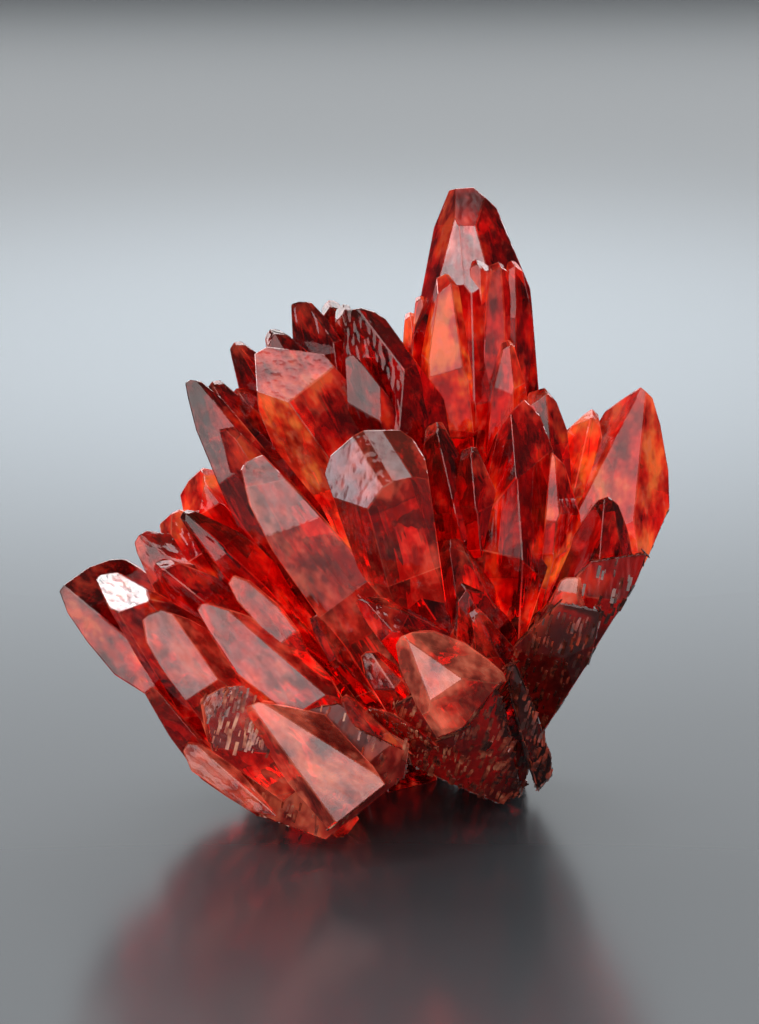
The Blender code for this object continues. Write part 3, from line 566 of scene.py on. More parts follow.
crystal(
    "left_broken", (-23, 46.2, -3), (-5, 25, 0), 10, painted_glow=0.6, steep=24, blunt=0.3,
    rim=((-25.2, 40.6), (-25, 42.9), (-23.7, 45), (-21.9, 46.5), (-20.6, 46.2), (-17.5, 42)),
)
crystal("left_dark", (-24.5, 41, -12), (-5, 22, -5), 5.5, painted_glow=0.15, turn=20, steep=14)
crystal("left_inner", (-27.5, 34.5, -11), (-6.3, 17.5, -4), 8, painted_glow=0.25, steep=17)


# The crystals in front
# Short crystals that point at the viewer and down to the left, over the arch in the root.
LEFT_BREAK = ((-8, -0.4), (-9.4, -0.1), (-15, 3.7), (-19.7, 5.4))
LEFT_ARCH = ((3.1, 8.4), (-3.7, 3), (-8, -0.4))
RIGHT_ARCH = ((18.1, 5.4), (14.6, 5), (8.7, 7.6), (4, 9.9))
PALE_BREAK = ((17, 17.5), (14.5, 14.5), (9.5, 12.5), (5, 13.5))

crystal(
    "low_left", (-28.6, 19.3, -15), (-12, 2, -6), 11, painted_glow=0.3, milk_and_painted_glow=0.2, steep=24, broken=LEFT_BREAK,
    rim=(
        (-22.9, 9.2), (-26, 13.4), (-27.9, 16.7), (-29, 18.7), (-28.1, 19.5), (-26.9, 18.7),
        (-23.1, 14.4), (-19, 10),
    ),
    front=(
        ((-21, 10.5, -17), (-27.5, 18.3, -17), 62),
        ((-21, 10.5, -17), (-27.5, 18.3, -17), 118),
    ),
)
crystal(
    "low_edge", (-23.8, 12.4, -17.3), (-9, -1, -10), 14,
    painted_glow=0.35, milk_and_painted_glow=0.4, steep=24, room=WIDE_ROOM, broken=LEFT_ARCH,
    rim=(
        (-10, 0.2), (-16.2, 4.4), (-19.7, 5.2), (-22.9, 8.5), (-24.2, 11.5), (-23.7, 12.5),
        (-21.9, 12.2), (-17.5, 9.4), (-13.7, 5),
    ),
    front=(
        ((-14, 4, -22), (-22.5, 11.5, -20), 83, SILKY),
        ((-14, 4, -22), (-22.5, 11.5, -20), 116),
    ),
)
crystal(
    "etched_stump", (-19, 19, -20), (-6.3, 3.8, -8), 11,
    painted_glow=0.5, milk_and_painted_glow=0.3, steep=24, blunt=0.36, broken=LEFT_BREAK,
    rim=(
        (-18.1, 10), (-20.6, 11.9), (-22.5, 15), (-23, 16.9), (-22.5, 17.7), (-19.4, 19.4),
        (-16.6, 19.7), (-14.7, 18), (-10, 12),
    ),
    front=(
        ((-21, 14, -25), (-16, 16, -26), 70, ETCHED),
        ((-21, 12, -24.5), (-13, 6, -24), 96, ETCHED),
    ),
)
crystal(
    "low_broad", (-15.8, 17.3, -20.9), (0.6, 3.5, -14), 13,
    painted_glow=0.55, milk_and_painted_glow=0.55, turn=-23, steep=22, room=WIDE_ROOM,
    broken=LEFT_ARCH,
    rim=(
        (-6.2, 2), (-11.2, 7.5), (-14.7, 13), (-16.6, 16), (-16.2, 17.1), (-14.7, 17.7),
        (-11.2, 16.9), (-6.2, 16), (-4.4, 15), (-0.6, 9.4), (1.5, 7.2),
    ),
    front=(
        ((0, 7, -25), (-14, 15.5, -24.8), 92, PEARLY),
        ((-0.6, 9.4, -23.7), (-11, 15.6, -23.9), 138),
        ((-6.9, 4, -26.3), (-14, 13.5, -24.9), 40, SILKY),
    ),
)
crystal(
    "low_dart", (-8, 28.2, -20), (2.5, 12.5, -6), 6.5, painted_glow=0.3, steep=16,
    rim=(
        (-3.1, 18), (-6.2, 22.5), (-8.1, 26.2), (-8.6, 27.9), (-7.7, 28.4), (-6.2, 26.9),
        (-3.7, 23.7), (-1.5, 20),
    ),
    front=(
        ((-4, 20, -19.5), (-7.9, 27.7, -21.4), 66),
        ((-4, 20, -19.5), (-7.9, 27.7, -21.4), 118),
    ),
)
crystal(
    "front_red", (-1.8, 30.3, -16.3), (12.5, 14, -6), 9.5, painted_glow=0.2, steep=20, broken=RIGHT_ARCH,
    rim=(
        (2.5, 21), (-1.2, 26.9), (-3.1, 29.4), (-2.9, 30.1), (-1.6, 30.6), (2.5, 30.2),
        (6.2, 29.7), (8.1, 27.5), (9.5, 23),
    ),
    front=(
        ((4.5, 23, -21), (-1.5, 29.6, -18.5), 61),
        ((4.5, 23, -21), (-1.5, 29.6, -18.5), 102),
        ((5, 28.4, -18.2), (0, 30, -17.4), 150),
    ),
)
crystal(
    "front_pale", (4, 25.8, -22), (15, 11, -12), 12.5,
    painted_glow=0.55, milk_and_painted_glow=0.75, turn=-23, steep=24, broken=PALE_BREAK,
    rim=(
        (7.5, 12.5), (4.4, 17.5), (2.5, 21.9), (2, 24.7), (2.7, 25.7), (4, 26.2),
        (6.9, 26.2), (10.6, 24.7), (13.7, 22.5), (15.4, 21), (16.6, 17),
    ),
    front=(
        ((8, 13, -28), (5, 21, -26.5), 46, SILKY),
        ((8, 13, -28), (5, 21, -26.5), 90, PEARLY),
        ((15, 18.7, -25.6), (7.5, 24, -24.7), 130),
    ),
)
crystal(
    "front_wedge", (-1.5, 23.5, -18.9), (7.5, 8, -8), 7,
    painted_glow=0.35, steep=16, broken=RIGHT_ARCH, room=WIDE_ROOM,
    rim=(
        (0.6, 17), (-1.9, 21.2), (-2.4, 23.1), (-1.7, 23.7), (-0.2, 23.7), (1.9, 22.5),
        (3.7, 18.7), (6, 14),
    ),
    front=(
        ((4, 15.8, -23), (-0.9, 23.1, -21), 77, SILKY),
        ((4, 15.8, -23), (-0.9, 23.1, -21), 104),
    ),
)
crystal(
    "front_sliver", (-4.1, 18.4, -24), (6.3, 5, -10), 6.5, painted_glow=0.3, milk_and_painted_glow=0.15, steep=16, broken=RIGHT_ARCH,
    rim=((-0.6, 11.2), (-3.7, 15.6), (-4.9, 17.9), (-4.1, 18.5), (-2.7, 17.5), (3, 12)),
    front=(
        ((0, 12.5, -24), (-4, 18, -25.2), 70),
        ((0, 12.5, -24), (-4, 18, -25.2), 120),
    ),
)
crystal(
    "front_low", (-1.5, 16.8, -22.4), (9, 5.5, -12), 8,
    painted_glow=0.45, milk_and_painted_glow=0.2, steep=16, broken=RIGHT_ARCH, room=WIDE_ROOM,
    rim=((2.5, 9.4), (-0.6, 13.1), (-1.9, 16), (-1.2, 16.9), (1.9, 16), (6.2, 13.1), (9.5, 9)),
    front=(
        ((5, 10.3, -25), (-1, 16.3, -24.1), 89, SILKY),
        ((5, 10.3, -25), (-1, 16.3, -24.1), 124),
    ),
)
crystal("front_spur", (10.4, 32.1, -14), (15, 16, -6), 7.5, painted_glow=0.1, turn=20, steep=22)
crystal("front_curl", (11.9, 28.6, -16), (17.5, 13, -8), 5.5, painted_glow=0.2, turn=20, steep=16)
crystal("front_mid", (3.1, 33.1, -14), (12.5, 16, -5), 8, painted_glow=0.2, turn=10, steep=20)
crystal("front_mid_right", (9, 37.3, -13), (13, 16, -5), 8, painted_glow=0.15, turn=-10, steep=20)


# The crystals on the far side
# Plainer crystals that fill the fan out behind.
crystal("back_crown", (-14, 56, 13), (3, 26, 3), 11, steep=20)
crystal("back_crown_right", (-5, 60, 15), (5, 28, 4), 11, turn=20, steep=20)
crystal("back_spire", (8, 66, 14), (11, 30, 5), 10, turn=-20, steep=18)
crystal("back_upper", (0, 50, 21), (6, 22, 5), 12, turn=30, steep=20)
crystal("back_upper_right", (12, 54, 19), (11, 22, 5), 11, steep=20)
crystal("back_right", (22, 46, 15), (13, 20, 5), 10, turn=20, steep=20, broken=RIGHT_BREAK)
crystal("back_outer", (28, 48, 11), (16, 20, 4), 10, steep=20, broken=RIGHT_BREAK)
crystal("back_left", (-20, 45, 10), (2, 22, 2), 10, turn=-20, steep=20)
crystal("back_left_low", (-28, 32, 7), (-4, 14, 2), 10, steep=20)
crystal("back_left_edge", (-28, 21, 6), (-6, 8, 1), 10, turn=25, steep=20)
crystal("back_middle", (-12, 40, 20), (3, 18, 4), 12, turn=15, steep=20)
crystal("back_middle_low", (-22, 28, 16), (0, 12, 3), 11, turn=-15, steep=20)
crystal("back_corner", (-17, 17, 18), (1, 8, 3), 11, steep=20)
crystal("back_facing", (-5, 29, 24), (5, 14, 5), 12, turn=30, steep=22)
crystal("back_facing_right", (8, 34, 24), (10, 16, 5), 12, steep=22)
crystal("back_side", (19, 33, 18), (12, 16, 5), 10, turn=-25, steep=22, broken=RIGHT_BREAK)
crystal("back_low", (-8, 12, 22), (4, 6, 5), 10, turn=10, steep=22)


# The broken root
# The rough end that the cluster came off the rock by: lumps with cleaved and chipped faces, in two
# lobes with an arch between them.
CHIPS = 12
FACETS = 7
FACET_LEAN = 18
ROOT_AXIS = Vector((0.2, -0.1, 1)).normalized()


def lump(name, outline, nearest, farthest, slope=0, painted_glow=0.25, milk_and_painted_glow=0, broken=1, steps=1):
    """A rough lump of the root between two distances back, with its outline in the view.

    slope leans its front face back towards the floor, in degrees. broken is how brown it is, steps
    how thickly small cleaved steps stand on it, and glow and milk are as for a crystal. Corners
    break off its far side, and its front face splits into a few faces that lean a little.
    """
    chance = random.Random(name)
    body = block()
    trim(body, outline + outline[:1], (nearest + farthest) / 2)
    right = sum(point[0] for point in outline) / len(outline)
    up = sum(point[1] for point in outline) / len(outline)
    for _ in range(FACETS):
        swing = math.radians(chance.uniform(-FACET_LEAN, FACET_LEAN))
        lean = math.radians(slope + chance.uniform(-FACET_LEAN, FACET_LEAN))
        facing = Vector((math.sin(swing), -math.cos(lean), -math.sin(lean)))
        spot = seen(right + chance.uniform(-3, 3), up + chance.uniform(-3, 3), nearest)
        cleave(body, spot, facing, BROKEN)
    cleave(body, Vector((0, farthest, 0)), Vector((0, 1, 0)), BROKEN)
    middle = sum((corner.co for corner in body.verts), Vector()) / len(body.verts)
    for _ in range(CHIPS):
        way = Vector((chance.uniform(-1, 1), chance.uniform(0.25, 1), chance.uniform(-0.4, 0.8)))
        way.normalize()
        reach = max((corner.co - middle).dot(way) for corner in body.verts)
        cleave(body, middle + way * reach * chance.uniform(0.74, 0.92), way, BROKEN)
    top = max((corner.co for corner in body.verts), key=lambda place: place.z).copy()
    piece(name, body, top, ROOT_AXIS, painted_glow, milk_and_painted_glow, broken, steps)


lump(
    "root_left",
    (
        (-8, -0.4), (-9.6, -0.2), (-15, 3.7), (-19.7, 5.4), (-21.9, 8.7), (-17.5, 15),
        (-5, 17.5), (3.7, 12.5), (3.1, 8.4), (-3.7, 3),
    ),
    -22, -4, painted_glow=0.4, milk_and_painted_glow=0.45, broken=0.2, steps=0.25,
)
lump(
    "root_left_far",
    ((-7, 4.5), (-14, 6), (-19, 12), (-12, 18), (0, 16), (3, 12), (2, 10), (-2.5, 7)),
    -8, 6,
)
lump(
    "root_middle",
    ((14.6, 5), (8.7, 7.6), (4, 9.9), (1.9, 17.5), (10, 22), (15, 19), (16.3, 12.5), (18, 6.2)),
    -22, 2, 25, painted_glow=0.3, milk_and_painted_glow=0.35, broken=0.75, steps=0.8,
)
lump(
    "root_rim",
    (
        (19.5, 6.8), (18.6, 10), (16.3, 17), (15.6, 22), (17, 22.5), (18.7, 17.5), (21, 12),
        (21, 8.7),
    ),
    -22, 2, 12,
)
lump(
    "root_right",
    ((18.7, 12), (16, 17.5), (16, 24), (22, 30), (27, 29), (25.6, 23), (20.6, 14.6)),
    -15.5, 8, 14, painted_glow=0.3, broken=0.1, steps=0.6,
)
lump(
    "root_right_upper",
    ((20, 20), (19, 28), (26, 35), (33, 36), (31.6, 32.6), (23, 18.5)),
    -12.5, 9, 8, painted_glow=0.3, broken=0, steps=0.3,
)
lump(
    "root_right_far",
    ((16, 13), (15, 30), (24, 34), (29, 33), (26.5, 27), (20, 15)),
    3, 15,
)
lump(
    "root_right_foot",
    ((15, 6), (9, 8), (6, 13), (10, 20), (17, 21), (19, 12), (18, 7)),
    -4, 11,
)
lump(
    "root_back",
    ((-9, 11), (-12, 16), (-8, 24), (10, 30), (20, 26), (18, 12), (14, 9.5)),
    -4, 14,
)
lump(
    "root_heel",
    ((-8, 7.5), (-11, 14), (-6, 22), (6, 22), (10, 14), (4, 8.5)),
    10, 20, -10,
)


# The cluster
# All the crystals and the root grew as one piece of clear red rhodochrosite, and where they meet
# there is no gap. It is see-through: light comes in by every face and turns red on its way.
def grow_together(name):
    """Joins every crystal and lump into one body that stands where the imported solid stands."""
    first, *others = grown.objects
    for other in others:
        union = first.modifiers.new("Grown into " + other.name, "BOOLEAN")
        union.operation = "UNION"
        union.solver = "EXACT"
        union.object = other
    whole = first.evaluated_get(bpy.context.evaluated_depsgraph_get())
    mesh = bpy.data.meshes.new_from_object(whole)
    mesh.name = name
    body = bmesh.new()
    body.from_mesh(mesh)
    to_follow = [max(body.verts, key=lambda corner: corner.co.z)]
    outside = set(to_follow)
    while to_follow:
        for edge in to_follow.pop().link_edges:
            for corner in edge.verts:
                if corner not in outside:
                    outside.add(corner)
                    to_follow.append(corner)
    bmesh.ops.delete(body, geom=[corner for corner in body.verts if corner not in outside], context="VERTS")
    bmesh.ops.scale(body, vec=(MM, MM, MM), verts=body.verts)
    low = Vector(min(corner.co[axis] for corner in body.verts) for axis in range(3))
    high = Vector(max(corner.co[axis] for corner in body.verts) for axis in range(3))
    solid_low, solid_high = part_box(name)
    move = (solid_low + solid_high - low - high) / 2
    move.z = solid_low.z - low.z
    bmesh.ops.translate(body, vec=move, verts=body.verts)
    tips = body.faces.layers.float_vector["tip"]
    for face in body.faces:
        face[tips] = face[tips] * MM + move
    body.to_mesh(mesh)
    body.free()
    whole = bpy.data.objects.new("red_crystals", mesh)
    bpy.context.scene.collection.objects.link(whole)
    return whole, move


def node(tree, kind, place, takes=(), **settings):
    """A node with its settings, and with the values and other nodes' outputs that its inputs take."""
    made = tree.nodes.new(kind if "Node" in kind else "ShaderNode" + kind)
    made.location = (place[0] * 200, place[1] * -180)
    for name, value in settings.items():
        if name in made.bl_rna.properties:
            setattr(made, name, value)
        else:
            made.inputs[name.replace("_", " ")].default_value = value
    for name, value in dict(takes).items():
        if isinstance(value, bpy.types.NodeSocket):
            tree.links.new(value, made.inputs[name])
        else:
            made.inputs[name].default_value = value
    return made


# Where the brown stain begins: two planes, each by two points of the view and how far it takes to
# grow to its full depth.
STAIN = (((17.4, 26, -8), (33, 35.5, -2), 5), ((15.5, 0, -8), (17.5, 30, -8), 3))
# Beyond the first plane the brown runs darker, from the first of these distances past it to the second.
BROWN_DARKENS = (0.002, 0.012)


def mineral(move):
    """Clear red to orange rhodochrosite: cloudy inside, finely lined, pitted or broken in places.

    move is how far the joined cluster lies from where the crystals were placed.
    """
    made = bpy.data.materials.new("rhodochrosite")
    made.use_nodes = True
    made.cycles.emission_sampling = "NONE"
    tree = made.node_tree
    link = tree.links.new
    surface = tree.nodes["Principled BSDF"]
    out = tree.nodes["Material Output"]
    surface.distribution = "GGX"
    surface.inputs["IOR"].default_value = 1.62
    surface.inputs["Transmission Weight"].default_value = 0.93
    surface.inputs["Coat IOR"].default_value = 1.9
    surface.inputs["Coat Roughness"].default_value = 0.04
    # The emission is painted light: the crystal gives off light of its own, a stand-in for light that
    # shines through it and is scattered inside.
    surface.inputs["Emission Strength"].default_value = 0.62
    place = node(tree, "TexCoord", (-12, 0)).outputs["Object"]
    marks = {
        mark: node(tree, "Attribute", (-12, 2 + row), attribute_name=mark).outputs["Fac"]
        for row, mark in enumerate((*MARKS, "worn_and_painted_highlight", "painted_glow", "milk_and_painted_glow"))
    }
    axis = node(tree, "Attribute", (-12, 10), attribute_name="axis").outputs["Vector"]
    tip = node(tree, "Attribute", (-12, 11), attribute_name="tip").outputs["Vector"]

    def figure(place, operation, *takes, clamp=False):
        """What a Math node makes of the values and outputs that it takes."""
        return node(tree, "Math", place, enumerate(takes), operation=operation, use_clamp=clamp).outputs[0]

    def ranged(place, value, start, end, low=0, high=1):
        """A value that runs from start to end, carried over to run from low to high."""
        settings = {"From_Min": start, "From_Max": end, "To_Min": low, "To_Max": high}
        return node(tree, "MapRange", place, {"Value": value}, **settings).outputs[0]

    def vector(place, operation, takes, output=0):
        """What a Vector Math node makes of the values and outputs that it takes."""
        return node(tree, "VectorMath", place, takes, operation=operation).outputs[output]

    # Along the crystal: how far down from its tip, and a space squeezed along its axis.
    from_tip = vector((-11, 0), "SUBTRACT", {0: tip, 1: place})
    down = vector((-10, 0), "DOT_PRODUCT", {0: from_tip, 1: axis}, "Value")

    def squeezed(share, row):
        """Places with this share of their length along the crystal's axis taken out."""
        less = figure((-9, row), "MULTIPLY", down, share)
        back = vector((-8, row), "SCALE", {0: axis, "Scale": less})
        return vector((-7, row), "ADD", {0: place, 1: back})

    clouds_place = squeezed(0.35, 1)
    lines_place = squeezed(0.94, 3)

    # Clouds of drops and healed cracks inside, from dark red to orange, shifted by each crystal's painted
    # brightness, which stands in for light shining through it.
    cloud = node(
        tree, "TexNoise", (-6, 0), {"Vector": clouds_place}, Scale=230, Detail=3, Roughness=0.64
    ).outputs[0]
    tone = figure((-4, 0), "ADD", ranged((-5, 0), cloud, 0.36, 0.64, -0.55, 0.4), marks["painted_glow"])
    ramp = node(tree, "ValToRGB", (-3, 0), {0: tone})
    stops = ramp.color_ramp.elements
    stops[0].position, stops[0].color = 0.0, (0.3, 0.002, 0.009, 1)
    stops[1].position, stops[1].color = 1.0, (1.0, 0.18, 0.022, 1)
    for position, colour in ((0.3, (0.8, 0.006, 0.006, 1)), (0.68, (0.98, 0.042, 0.007, 1))):
        stops.new(position).color = colour

    # Thin milky veils, a painted paleness towards each tip, which stands in for light shining through where
    # the crystal is thin, and healed cracks along the clouds' middle.
    bent = vector((-7, 2), "MULTIPLY_ADD", {0: cloud, 1: (0.009, -0.006, 0.004), 2: clouds_place})
    veil = node(tree, "TexNoise", (-6, 2), {"Vector": bent}, Scale=620, Detail=2, Roughness=0.75).outputs[0]
    streaks = ranged((-5, 2), veil, 0.5, 0.78, 0, 0.5)
    painted_pale_tips = ranged((-5, 3), down, 0.0, 0.006, 0.35, 0)
    pale = figure((-4, 2), "MAXIMUM", streaks, painted_pale_tips)
    crack = figure((-6, 13), "COMPARE", cloud, 0.5, 0.006)
    healed = figure((-5, 13), "MULTIPLY", crack, 0.5)
    fades = ranged((-5, 14), veil, 0.48, 0.6)
    patchy = figure((-4, 13), "MULTIPLY", healed, fades, clamp=True)
    lined = figure((-3, 13), "MAXIMUM", pale, patchy)
    smoky = ranged((-5, 15), cloud, 0.35, 0.6, 0.25, 1.3)
    haze = figure((-3, 14), "MULTIPLY_ADD", smoky, marks["milk_and_painted_glow"], lined)
    # Worn edges are painted paler too: a painted highlight along each edge, on faces that are really worn
    # off.
    haze_and_painted_edges = figure((-2, 14), "MULTIPLY_ADD", marks["worn_and_painted_highlight"], 0.5, haze, clamp=True)
    milky = node(tree, "Mix", (-2, 0), {"Factor": haze_and_painted_edges, "A": ramp.outputs[0]}, data_type="RGBA")
    milky.inputs["B"].default_value = (0.97, 0.21, 0.12, 1)

    # The side that was broken off the rock is stained brown, and so is everything beyond a line that
    # runs up to the right along the lower ends of the crystals there.
    edges, depths, stains = [], [], []
    for row, (start, end, fade) in enumerate(STAIN):
        point, normal = seen_plane(start, end, 180)
        edges.append(normal.dot(point * MM + move))
        depths.append(vector((-7, 16 + row), "DOT_PRODUCT", {0: bent, 1: normal}, "Value"))
        stains.append(ranged((-6, 16 + row), depths[row], edges[row], edges[row] + fade * MM))
    stained = figure((-5, 16), "MULTIPLY", *stains)
    worst = figure((-4, 16), "MAXIMUM", stained, marks["broken"])

    # Broken stone: brown and grey between sparkling red steps.
    first, last = BROWN_DARKENS
    # The brown runs darker the further it lies beyond the first plane, towards the lower right.
    darker_beyond = ranged((-5, 6), depths[0], edges[0] + first, edges[0] + last, 0, 0.16)
    darker = figure((-5, 5), "SUBTRACT", veil, darker_beyond)
    brown = node(tree, "ValToRGB", (-4, 5), {0: darker})
    stops = brown.color_ramp.elements
    stops[0].position, stops[0].color = 0.36, (0.035, 0.012, 0.009, 1)
    stops[1].position, stops[1].color = 0.68, (0.62, 0.2, 0.1, 1)
    stops.new(0.52).color = (0.22, 0.05, 0.03, 1)
    rubbed = figure((-4, 6), "MULTIPLY", worst, 0.85, clamp=True)
    colour = node(
        tree, "Mix", (-1, 0), {"Factor": rubbed, "A": milky.outputs["Result"], "B": brown.outputs[0]},
        data_type="RGBA",
    )
    link(colour.outputs["Result"], surface.inputs["Base Color"])

    # Painted light: the bright and cloudy parts give off emission in the body's own colour, a stand-in for
    # light scattered inside and shining out. It is weaker where the stone is brown.
    shine = ranged((-3, 3), tone, 0.2, 1.1, 0, 0.8)
    painted_glow_share = figure((-2, 2), "MULTIPLY_ADD", marks["milk_and_painted_glow"], 0.3, shine)
    whole = figure((-2, 3), "SUBTRACT", painted_glow_share, worst, clamp=True)
    painted_glow_colour = node(
        tree, "Mix", (-1, 3), {"Factor": whole, "A": (0, 0, 0, 1), "B": colour.outputs["Result"]},
        data_type="RGBA",
    )
    link(painted_glow_colour.outputs["Result"], surface.inputs["Emission Color"])

    # The gloss of each face, duller where it is lined or pitted, and a pearly shine on some.
    smear = node(
        tree, "TexNoise", (-6, 7), {"Vector": lines_place}, Scale=900, Detail=1, Roughness=0.7
    ).outputs[0]
    dull = ranged((-4, 7), smear, 0.4, 0.75, 0, 0.1)
    link(figure((-3, 7), "ADD", marks["rough"], dull, clamp=True), surface.inputs["Roughness"])
    scuffs = ranged((-4, 8), smear, 0.36, 0.64, 0.5, 0.2)
    link(figure((-3, 8), "MULTIPLY", marks["pearl"], scuffs), surface.inputs["Coat Weight"])

    # Relief: growth lines along the axis, which are deeper on a pitted face.
    depth = figure((-3, 9), "MULTIPLY_ADD", marks["pits"], 0.6, 0.3)
    lines = node(tree, "Bump", (-2, 9), {"Strength": depth, "Height": smear}, Distance=0.0002)
    link(lines.outputs[0], surface.inputs["Normal"])

    absorb = node(tree, "VolumeAbsorption", (0, 3), Color=(0.975, 0.45, 0.18, 1), Density=700)
    link(absorb.outputs[0], out.inputs["Volume"])
    return made


cluster, move = grow_together("rhodochrosite_cluster")
cluster.data.materials.clear()
cluster.data.materials.append(mineral(move))
for used in list(grown.objects):
    bpy.data.objects.remove(used)
bpy.data.collections.remove(grown)
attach(cluster, "root")
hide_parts("rhodochrosite_cluster")


# The cleaved steps on the broken root
# Where the stone broke it did so along its three cleavages, in thousands of small shiny steps. They
# are part of the stone and stand half out of it, thickest on the root and the etched stump.
STEPS_TO_A_SQUARE_METRE = 1.5e6
STEP_SEED = 7
STEP_SMALLEST = 0.1
STEP_LARGEST = 0.45
STEP_SHEAR = 0.27
STEP_LENGTH = 4.2
STEP_HEIGHT = 0.4
STEP_TWIST = Vector((0.12, 0.2, 0.08))


def cleaved_step():
    """One small rhomb of calcite habit, as the stone cleaves, a millimetre or so long."""
    mesh = bpy.data.meshes.new("cleaved_step")
    body = bmesh.new()
    bmesh.ops.create_cube(body, size=MM)
    for corner in body.verts:
        across, along, up = corner.co
        corner.co.x = across + STEP_SHEAR * along
        corner.co.y = STEP_LENGTH * along
        corner.co.z = STEP_HEIGHT * up + STEP_SHEAR * across
    body.to_mesh(mesh)
    body.free()
    return bpy.data.objects.new("cleaved_step", mesh)


def steps_tree(step):
    """Strews steps over the faces whose steps mark isn't 0, each turned and sized by chance."""
    tree = bpy.data.node_groups.new("strewn_steps", "GeometryNodeTree")
    kinds = {
        "Stone": "Geometry", "Density": "Float", "Smallest": "Float", "Largest": "Float",
        "Material": "Material",
    }
    for name, kind in kinds.items():
        tree.interface.new_socket(name, in_out="INPUT", socket_type="NodeSocket" + kind)
    tree.interface.new_socket("Steps", in_out="OUTPUT", socket_type="NodeSocketGeometry")
    given = node(tree, "NodeGroupInput", (-9, 0)).outputs
    mark = node(tree, "GeometryNodeInputNamedAttribute", (-8, 1), {"Name": "steps"}, data_type="FLOAT")
    density = node(
        tree, "Math", (-7, 1), {0: mark.outputs["Attribute"], 1: given["Density"]}, operation="MULTIPLY"
    )
    points = node(
        tree, "GeometryNodeDistributePointsOnFaces", (-6, 0),
        {"Mesh": given["Stone"], "Density": density.outputs[0], "Seed": STEP_SEED},
    ).outputs
    shape = node(tree, "GeometryNodeObjectInfo", (-4, 1), {"Object": step})
    size = node(
        tree, "FunctionNodeRandomValue", (-4, 3),
        {2: given["Smallest"], 3: given["Largest"], "Seed": STEP_SEED},
    )
    twist = node(
        tree, "FunctionNodeRandomValue", (-5, 2),
        {0: -STEP_TWIST, 1: STEP_TWIST, "Seed": STEP_SEED + 1}, data_type="FLOAT_VECTOR",
    )
    level = node(
        tree, "FunctionNodeAlignEulerToVector", (-5, 1),
        {"Rotation": points["Rotation"], "Vector": ROOT_AXIS}, axis="Y", pivot_axis="Z",
    )
    turn = node(
        tree, "FunctionNodeRotateEuler", (-4, 2), {0: level.outputs[0], 1: twist.outputs[0]}, space="LOCAL"
    )
    strewn = node(
        tree, "GeometryNodeInstanceOnPoints", (-3, 0),
        {
            "Points": points["Points"], "Instance": shape.outputs["Geometry"],
            "Rotation": turn.outputs[0], "Scale": size.outputs[1],
        },
    )
    real = node(tree, "GeometryNodeRealizeInstances", (-2, 0), {0: strewn.outputs[0]})
    painted = node(
        tree, "GeometryNodeSetMaterial", (-1, 0),
        {"Geometry": real.outputs[0], "Material": given["Material"]},
    )
    node(tree, "NodeGroupOutput", (0, 0), {0: painted.outputs[0]})
    return tree


def broken_stone():
    """Brown, grey and red broken stone with a glassy shine."""
    made = bpy.data.materials.new("broken_stone")
    made.use_nodes = True
    tree = made.node_tree
    surface = tree.nodes["Principled BSDF"]
    surface.inputs["IOR"].default_value = 1.72
    surface.inputs["Roughness"].default_value = 0.12
    place = node(tree, "TexCoord", (-5, 0)).outputs["Object"]
    stone = node(tree, "TexNoise", (-4, 0), {"Vector": place}, Scale=420, Detail=2, Roughness=0.7)
    sides = node(tree, "SeparateXYZ", (-4, 1), {0: place})
    # The colour runs darker towards the right.
    darker_rightward = node(
        tree, "MapRange", (-3, 1), {"Value": sides.outputs["X"]},
        From_Min=0.008, From_Max=0.018, To_Min=0, To_Max=0.16,
    )
    darker = node(tree, "Math", (-3, 0), {0: stone.outputs[0], 1: darker_rightward.outputs[0]}, operation="SUBTRACT")
    brown = node(tree, "ValToRGB", (-2, 0), {0: darker.outputs[0]})
    stops = brown.color_ramp.elements
    stops[0].position, stops[0].color = 0.3, (0.06, 0.012, 0.008, 1)
    stops[1].position, stops[1].color = 0.66, (0.85, 0.33, 0.18, 1)
    stops.new(0.5).color = (0.45, 0.06, 0.03, 1)
    tree.links.new(brown.outputs[0], surface.inputs["Base Color"])
    return made


step = cleaved_step()
steps = bpy.data.objects.new("cleaved_steps", cluster.data.copy())
bpy.context.scene.collection.objects.link(steps)
strew = steps.modifiers.new("Strewn steps", "NODES")
strew.node_group = steps_tree(step)
values = {
    "Density": STEPS_TO_A_SQUARE_METRE, "Smallest": STEP_SMALLEST, "Largest": STEP_LARGEST,
    "Material": broken_stone(),
}
for item in strew.node_group.interface.items_tree:
    if item.name in values and item.in_out == "INPUT":
        strew[item.identifier] = values[item.name]
strewn = bpy.data.meshes.new_from_object(steps.evaluated_get(bpy.context.evaluated_depsgraph_get()))
steps.modifiers.clear()
steps.data = strewn
for corner in strewn.vertices:
    corner.co = [min(max(at, low), high) for at, low, high in zip(corner.co, *solid_box)]
bpy.data.objects.remove(step)
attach(steps, "root")


# The floor
# A plain studio floor with a soft shine, which reaches far enough back to fill the view. Its paint
# is a mid to dark grey that shows pale where the light behind the cluster is mirrored in it.
FLOOR_REACH = 4

sheet = bpy.data.meshes.new("floor")
body = bmesh.new()
bmesh.ops.create_circle(body, cap_ends=True, segments=96, radius=FLOOR_REACH)
body.to_mesh(sheet)
body.free()
floor = bpy.data.objects.new("floor", sheet)
bpy.context.scene.collection.objects.link(floor)
paint = bpy.data.materials.new("floor_paint")
paint.use_nodes = True
paint.node_tree.nodes["Principled BSDF"].inputs["Base Color"].default_value = (0.06, 0.067, 0.074, 1)
paint.node_tree.nodes["Principled BSDF"].inputs["Roughness"].default_value = 0.2
sheet.materials.append(paint)


# The studio light
# Softboxes in front of the cluster show as pale shapes on the faces that look at them, and lights
# behind it shine through. Each stands so many degrees round from the viewer and up from the floor.
LIGHT_CENTRE = Vector((0, 0, 0.038))
PANEL_WATTS = 4


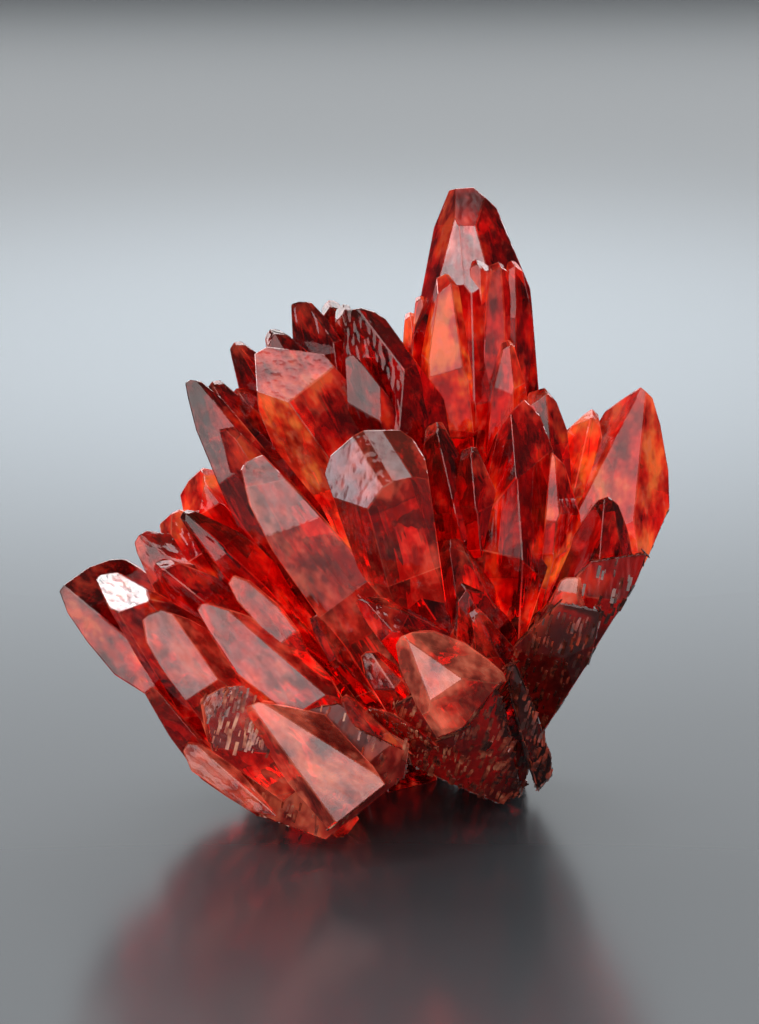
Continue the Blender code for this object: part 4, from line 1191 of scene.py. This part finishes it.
def softbox(name, across, up, distance, width, height, radiance, colour=(1, 1, 1)):
    """A soft panel of light that looks at the cluster."""
    light = bpy.data.lights.new(name, "AREA")
    light.shape = "RECTANGLE"
    light.size = width
    light.size_y = height
    light.energy = radiance * width * height * PANEL_WATTS
    light.color = colour
    across, up = math.radians(across), math.radians(up)
    way = Vector((math.sin(across) * math.cos(up), -math.cos(across) * math.cos(up), math.sin(up)))
    panel = bpy.data.objects.new(name, light)
    panel.rotation_mode = "QUATERNION"
    panel.rotation_quaternion = way.to_track_quat("Z", "Y")
    panel.location = LIGHT_CENTRE + way * distance
    panel.visible_camera = False
    bpy.context.scene.collection.objects.link(panel)


softbox("front_panel", -13, 14, 0.7, 0.9, 0.38, 1.5, (1, 0.95, 0.93))
softbox("left_strip", -60, 6, 0.6, 0.1, 0.22, 2.2, (0.9, 0.93, 1))
softbox("top_panel", -25, 48, 0.6, 0.6, 0.2, 1.6)
softbox("overhead", 0, 85, 0.5, 0.25, 0.25, 1.2)
softbox("left_spark", -62, 53, 0.5, 0.07, 0.07, 9)
softbox("back_panel", 180, 48, 0.45, 0.5, 0.25, 3.4)
softbox("back_left", -125, 25, 0.5, 0.2, 0.2, 4)
softbox("back_right", 125, 25, 0.5, 0.2, 0.2, 4)
softbox("left_cap", -58, 31, 0.5, 0.12, 0.12, 2.6)
softbox("right_cap", 26, 45, 0.5, 0.12, 0.12, 2.6)
softbox("back_sheet", 180, 15, 1.0, 1.5, 0.52, 0.9, (0.93, 0.97, 1))

pool = bpy.data.lights.new("floor_pool", "SPOT")
pool.energy = 24
pool.spot_size = math.radians(78)
pool.spot_blend = 1
pool.shadow_soft_size = 0.06
pool.color = (0.95, 0.98, 1)
lamp = bpy.data.objects.new("floor_pool", pool)
lamp.location = (0, 0.27, 0.32)
bpy.context.scene.collection.objects.link(lamp)

surround = bpy.data.worlds.new("surround")
surround.use_nodes = True
surround.node_tree.nodes["Background"].inputs["Color"].default_value = (0.04, 0.044, 0.048, 1)
bpy.context.scene.world = surround
bpy.context.scene.view_settings.view_transform = "Standard"

# Light passes through many faces here, and the later bounces add little.
paths = bpy.context.scene.cycles
paths.max_bounces = 5
paths.transmission_bounces = 5
paths.glossy_bounces = 3
paths.diffuse_bounces = 1
paths.caustics_reflective = False
paths.caustics_refractive = False
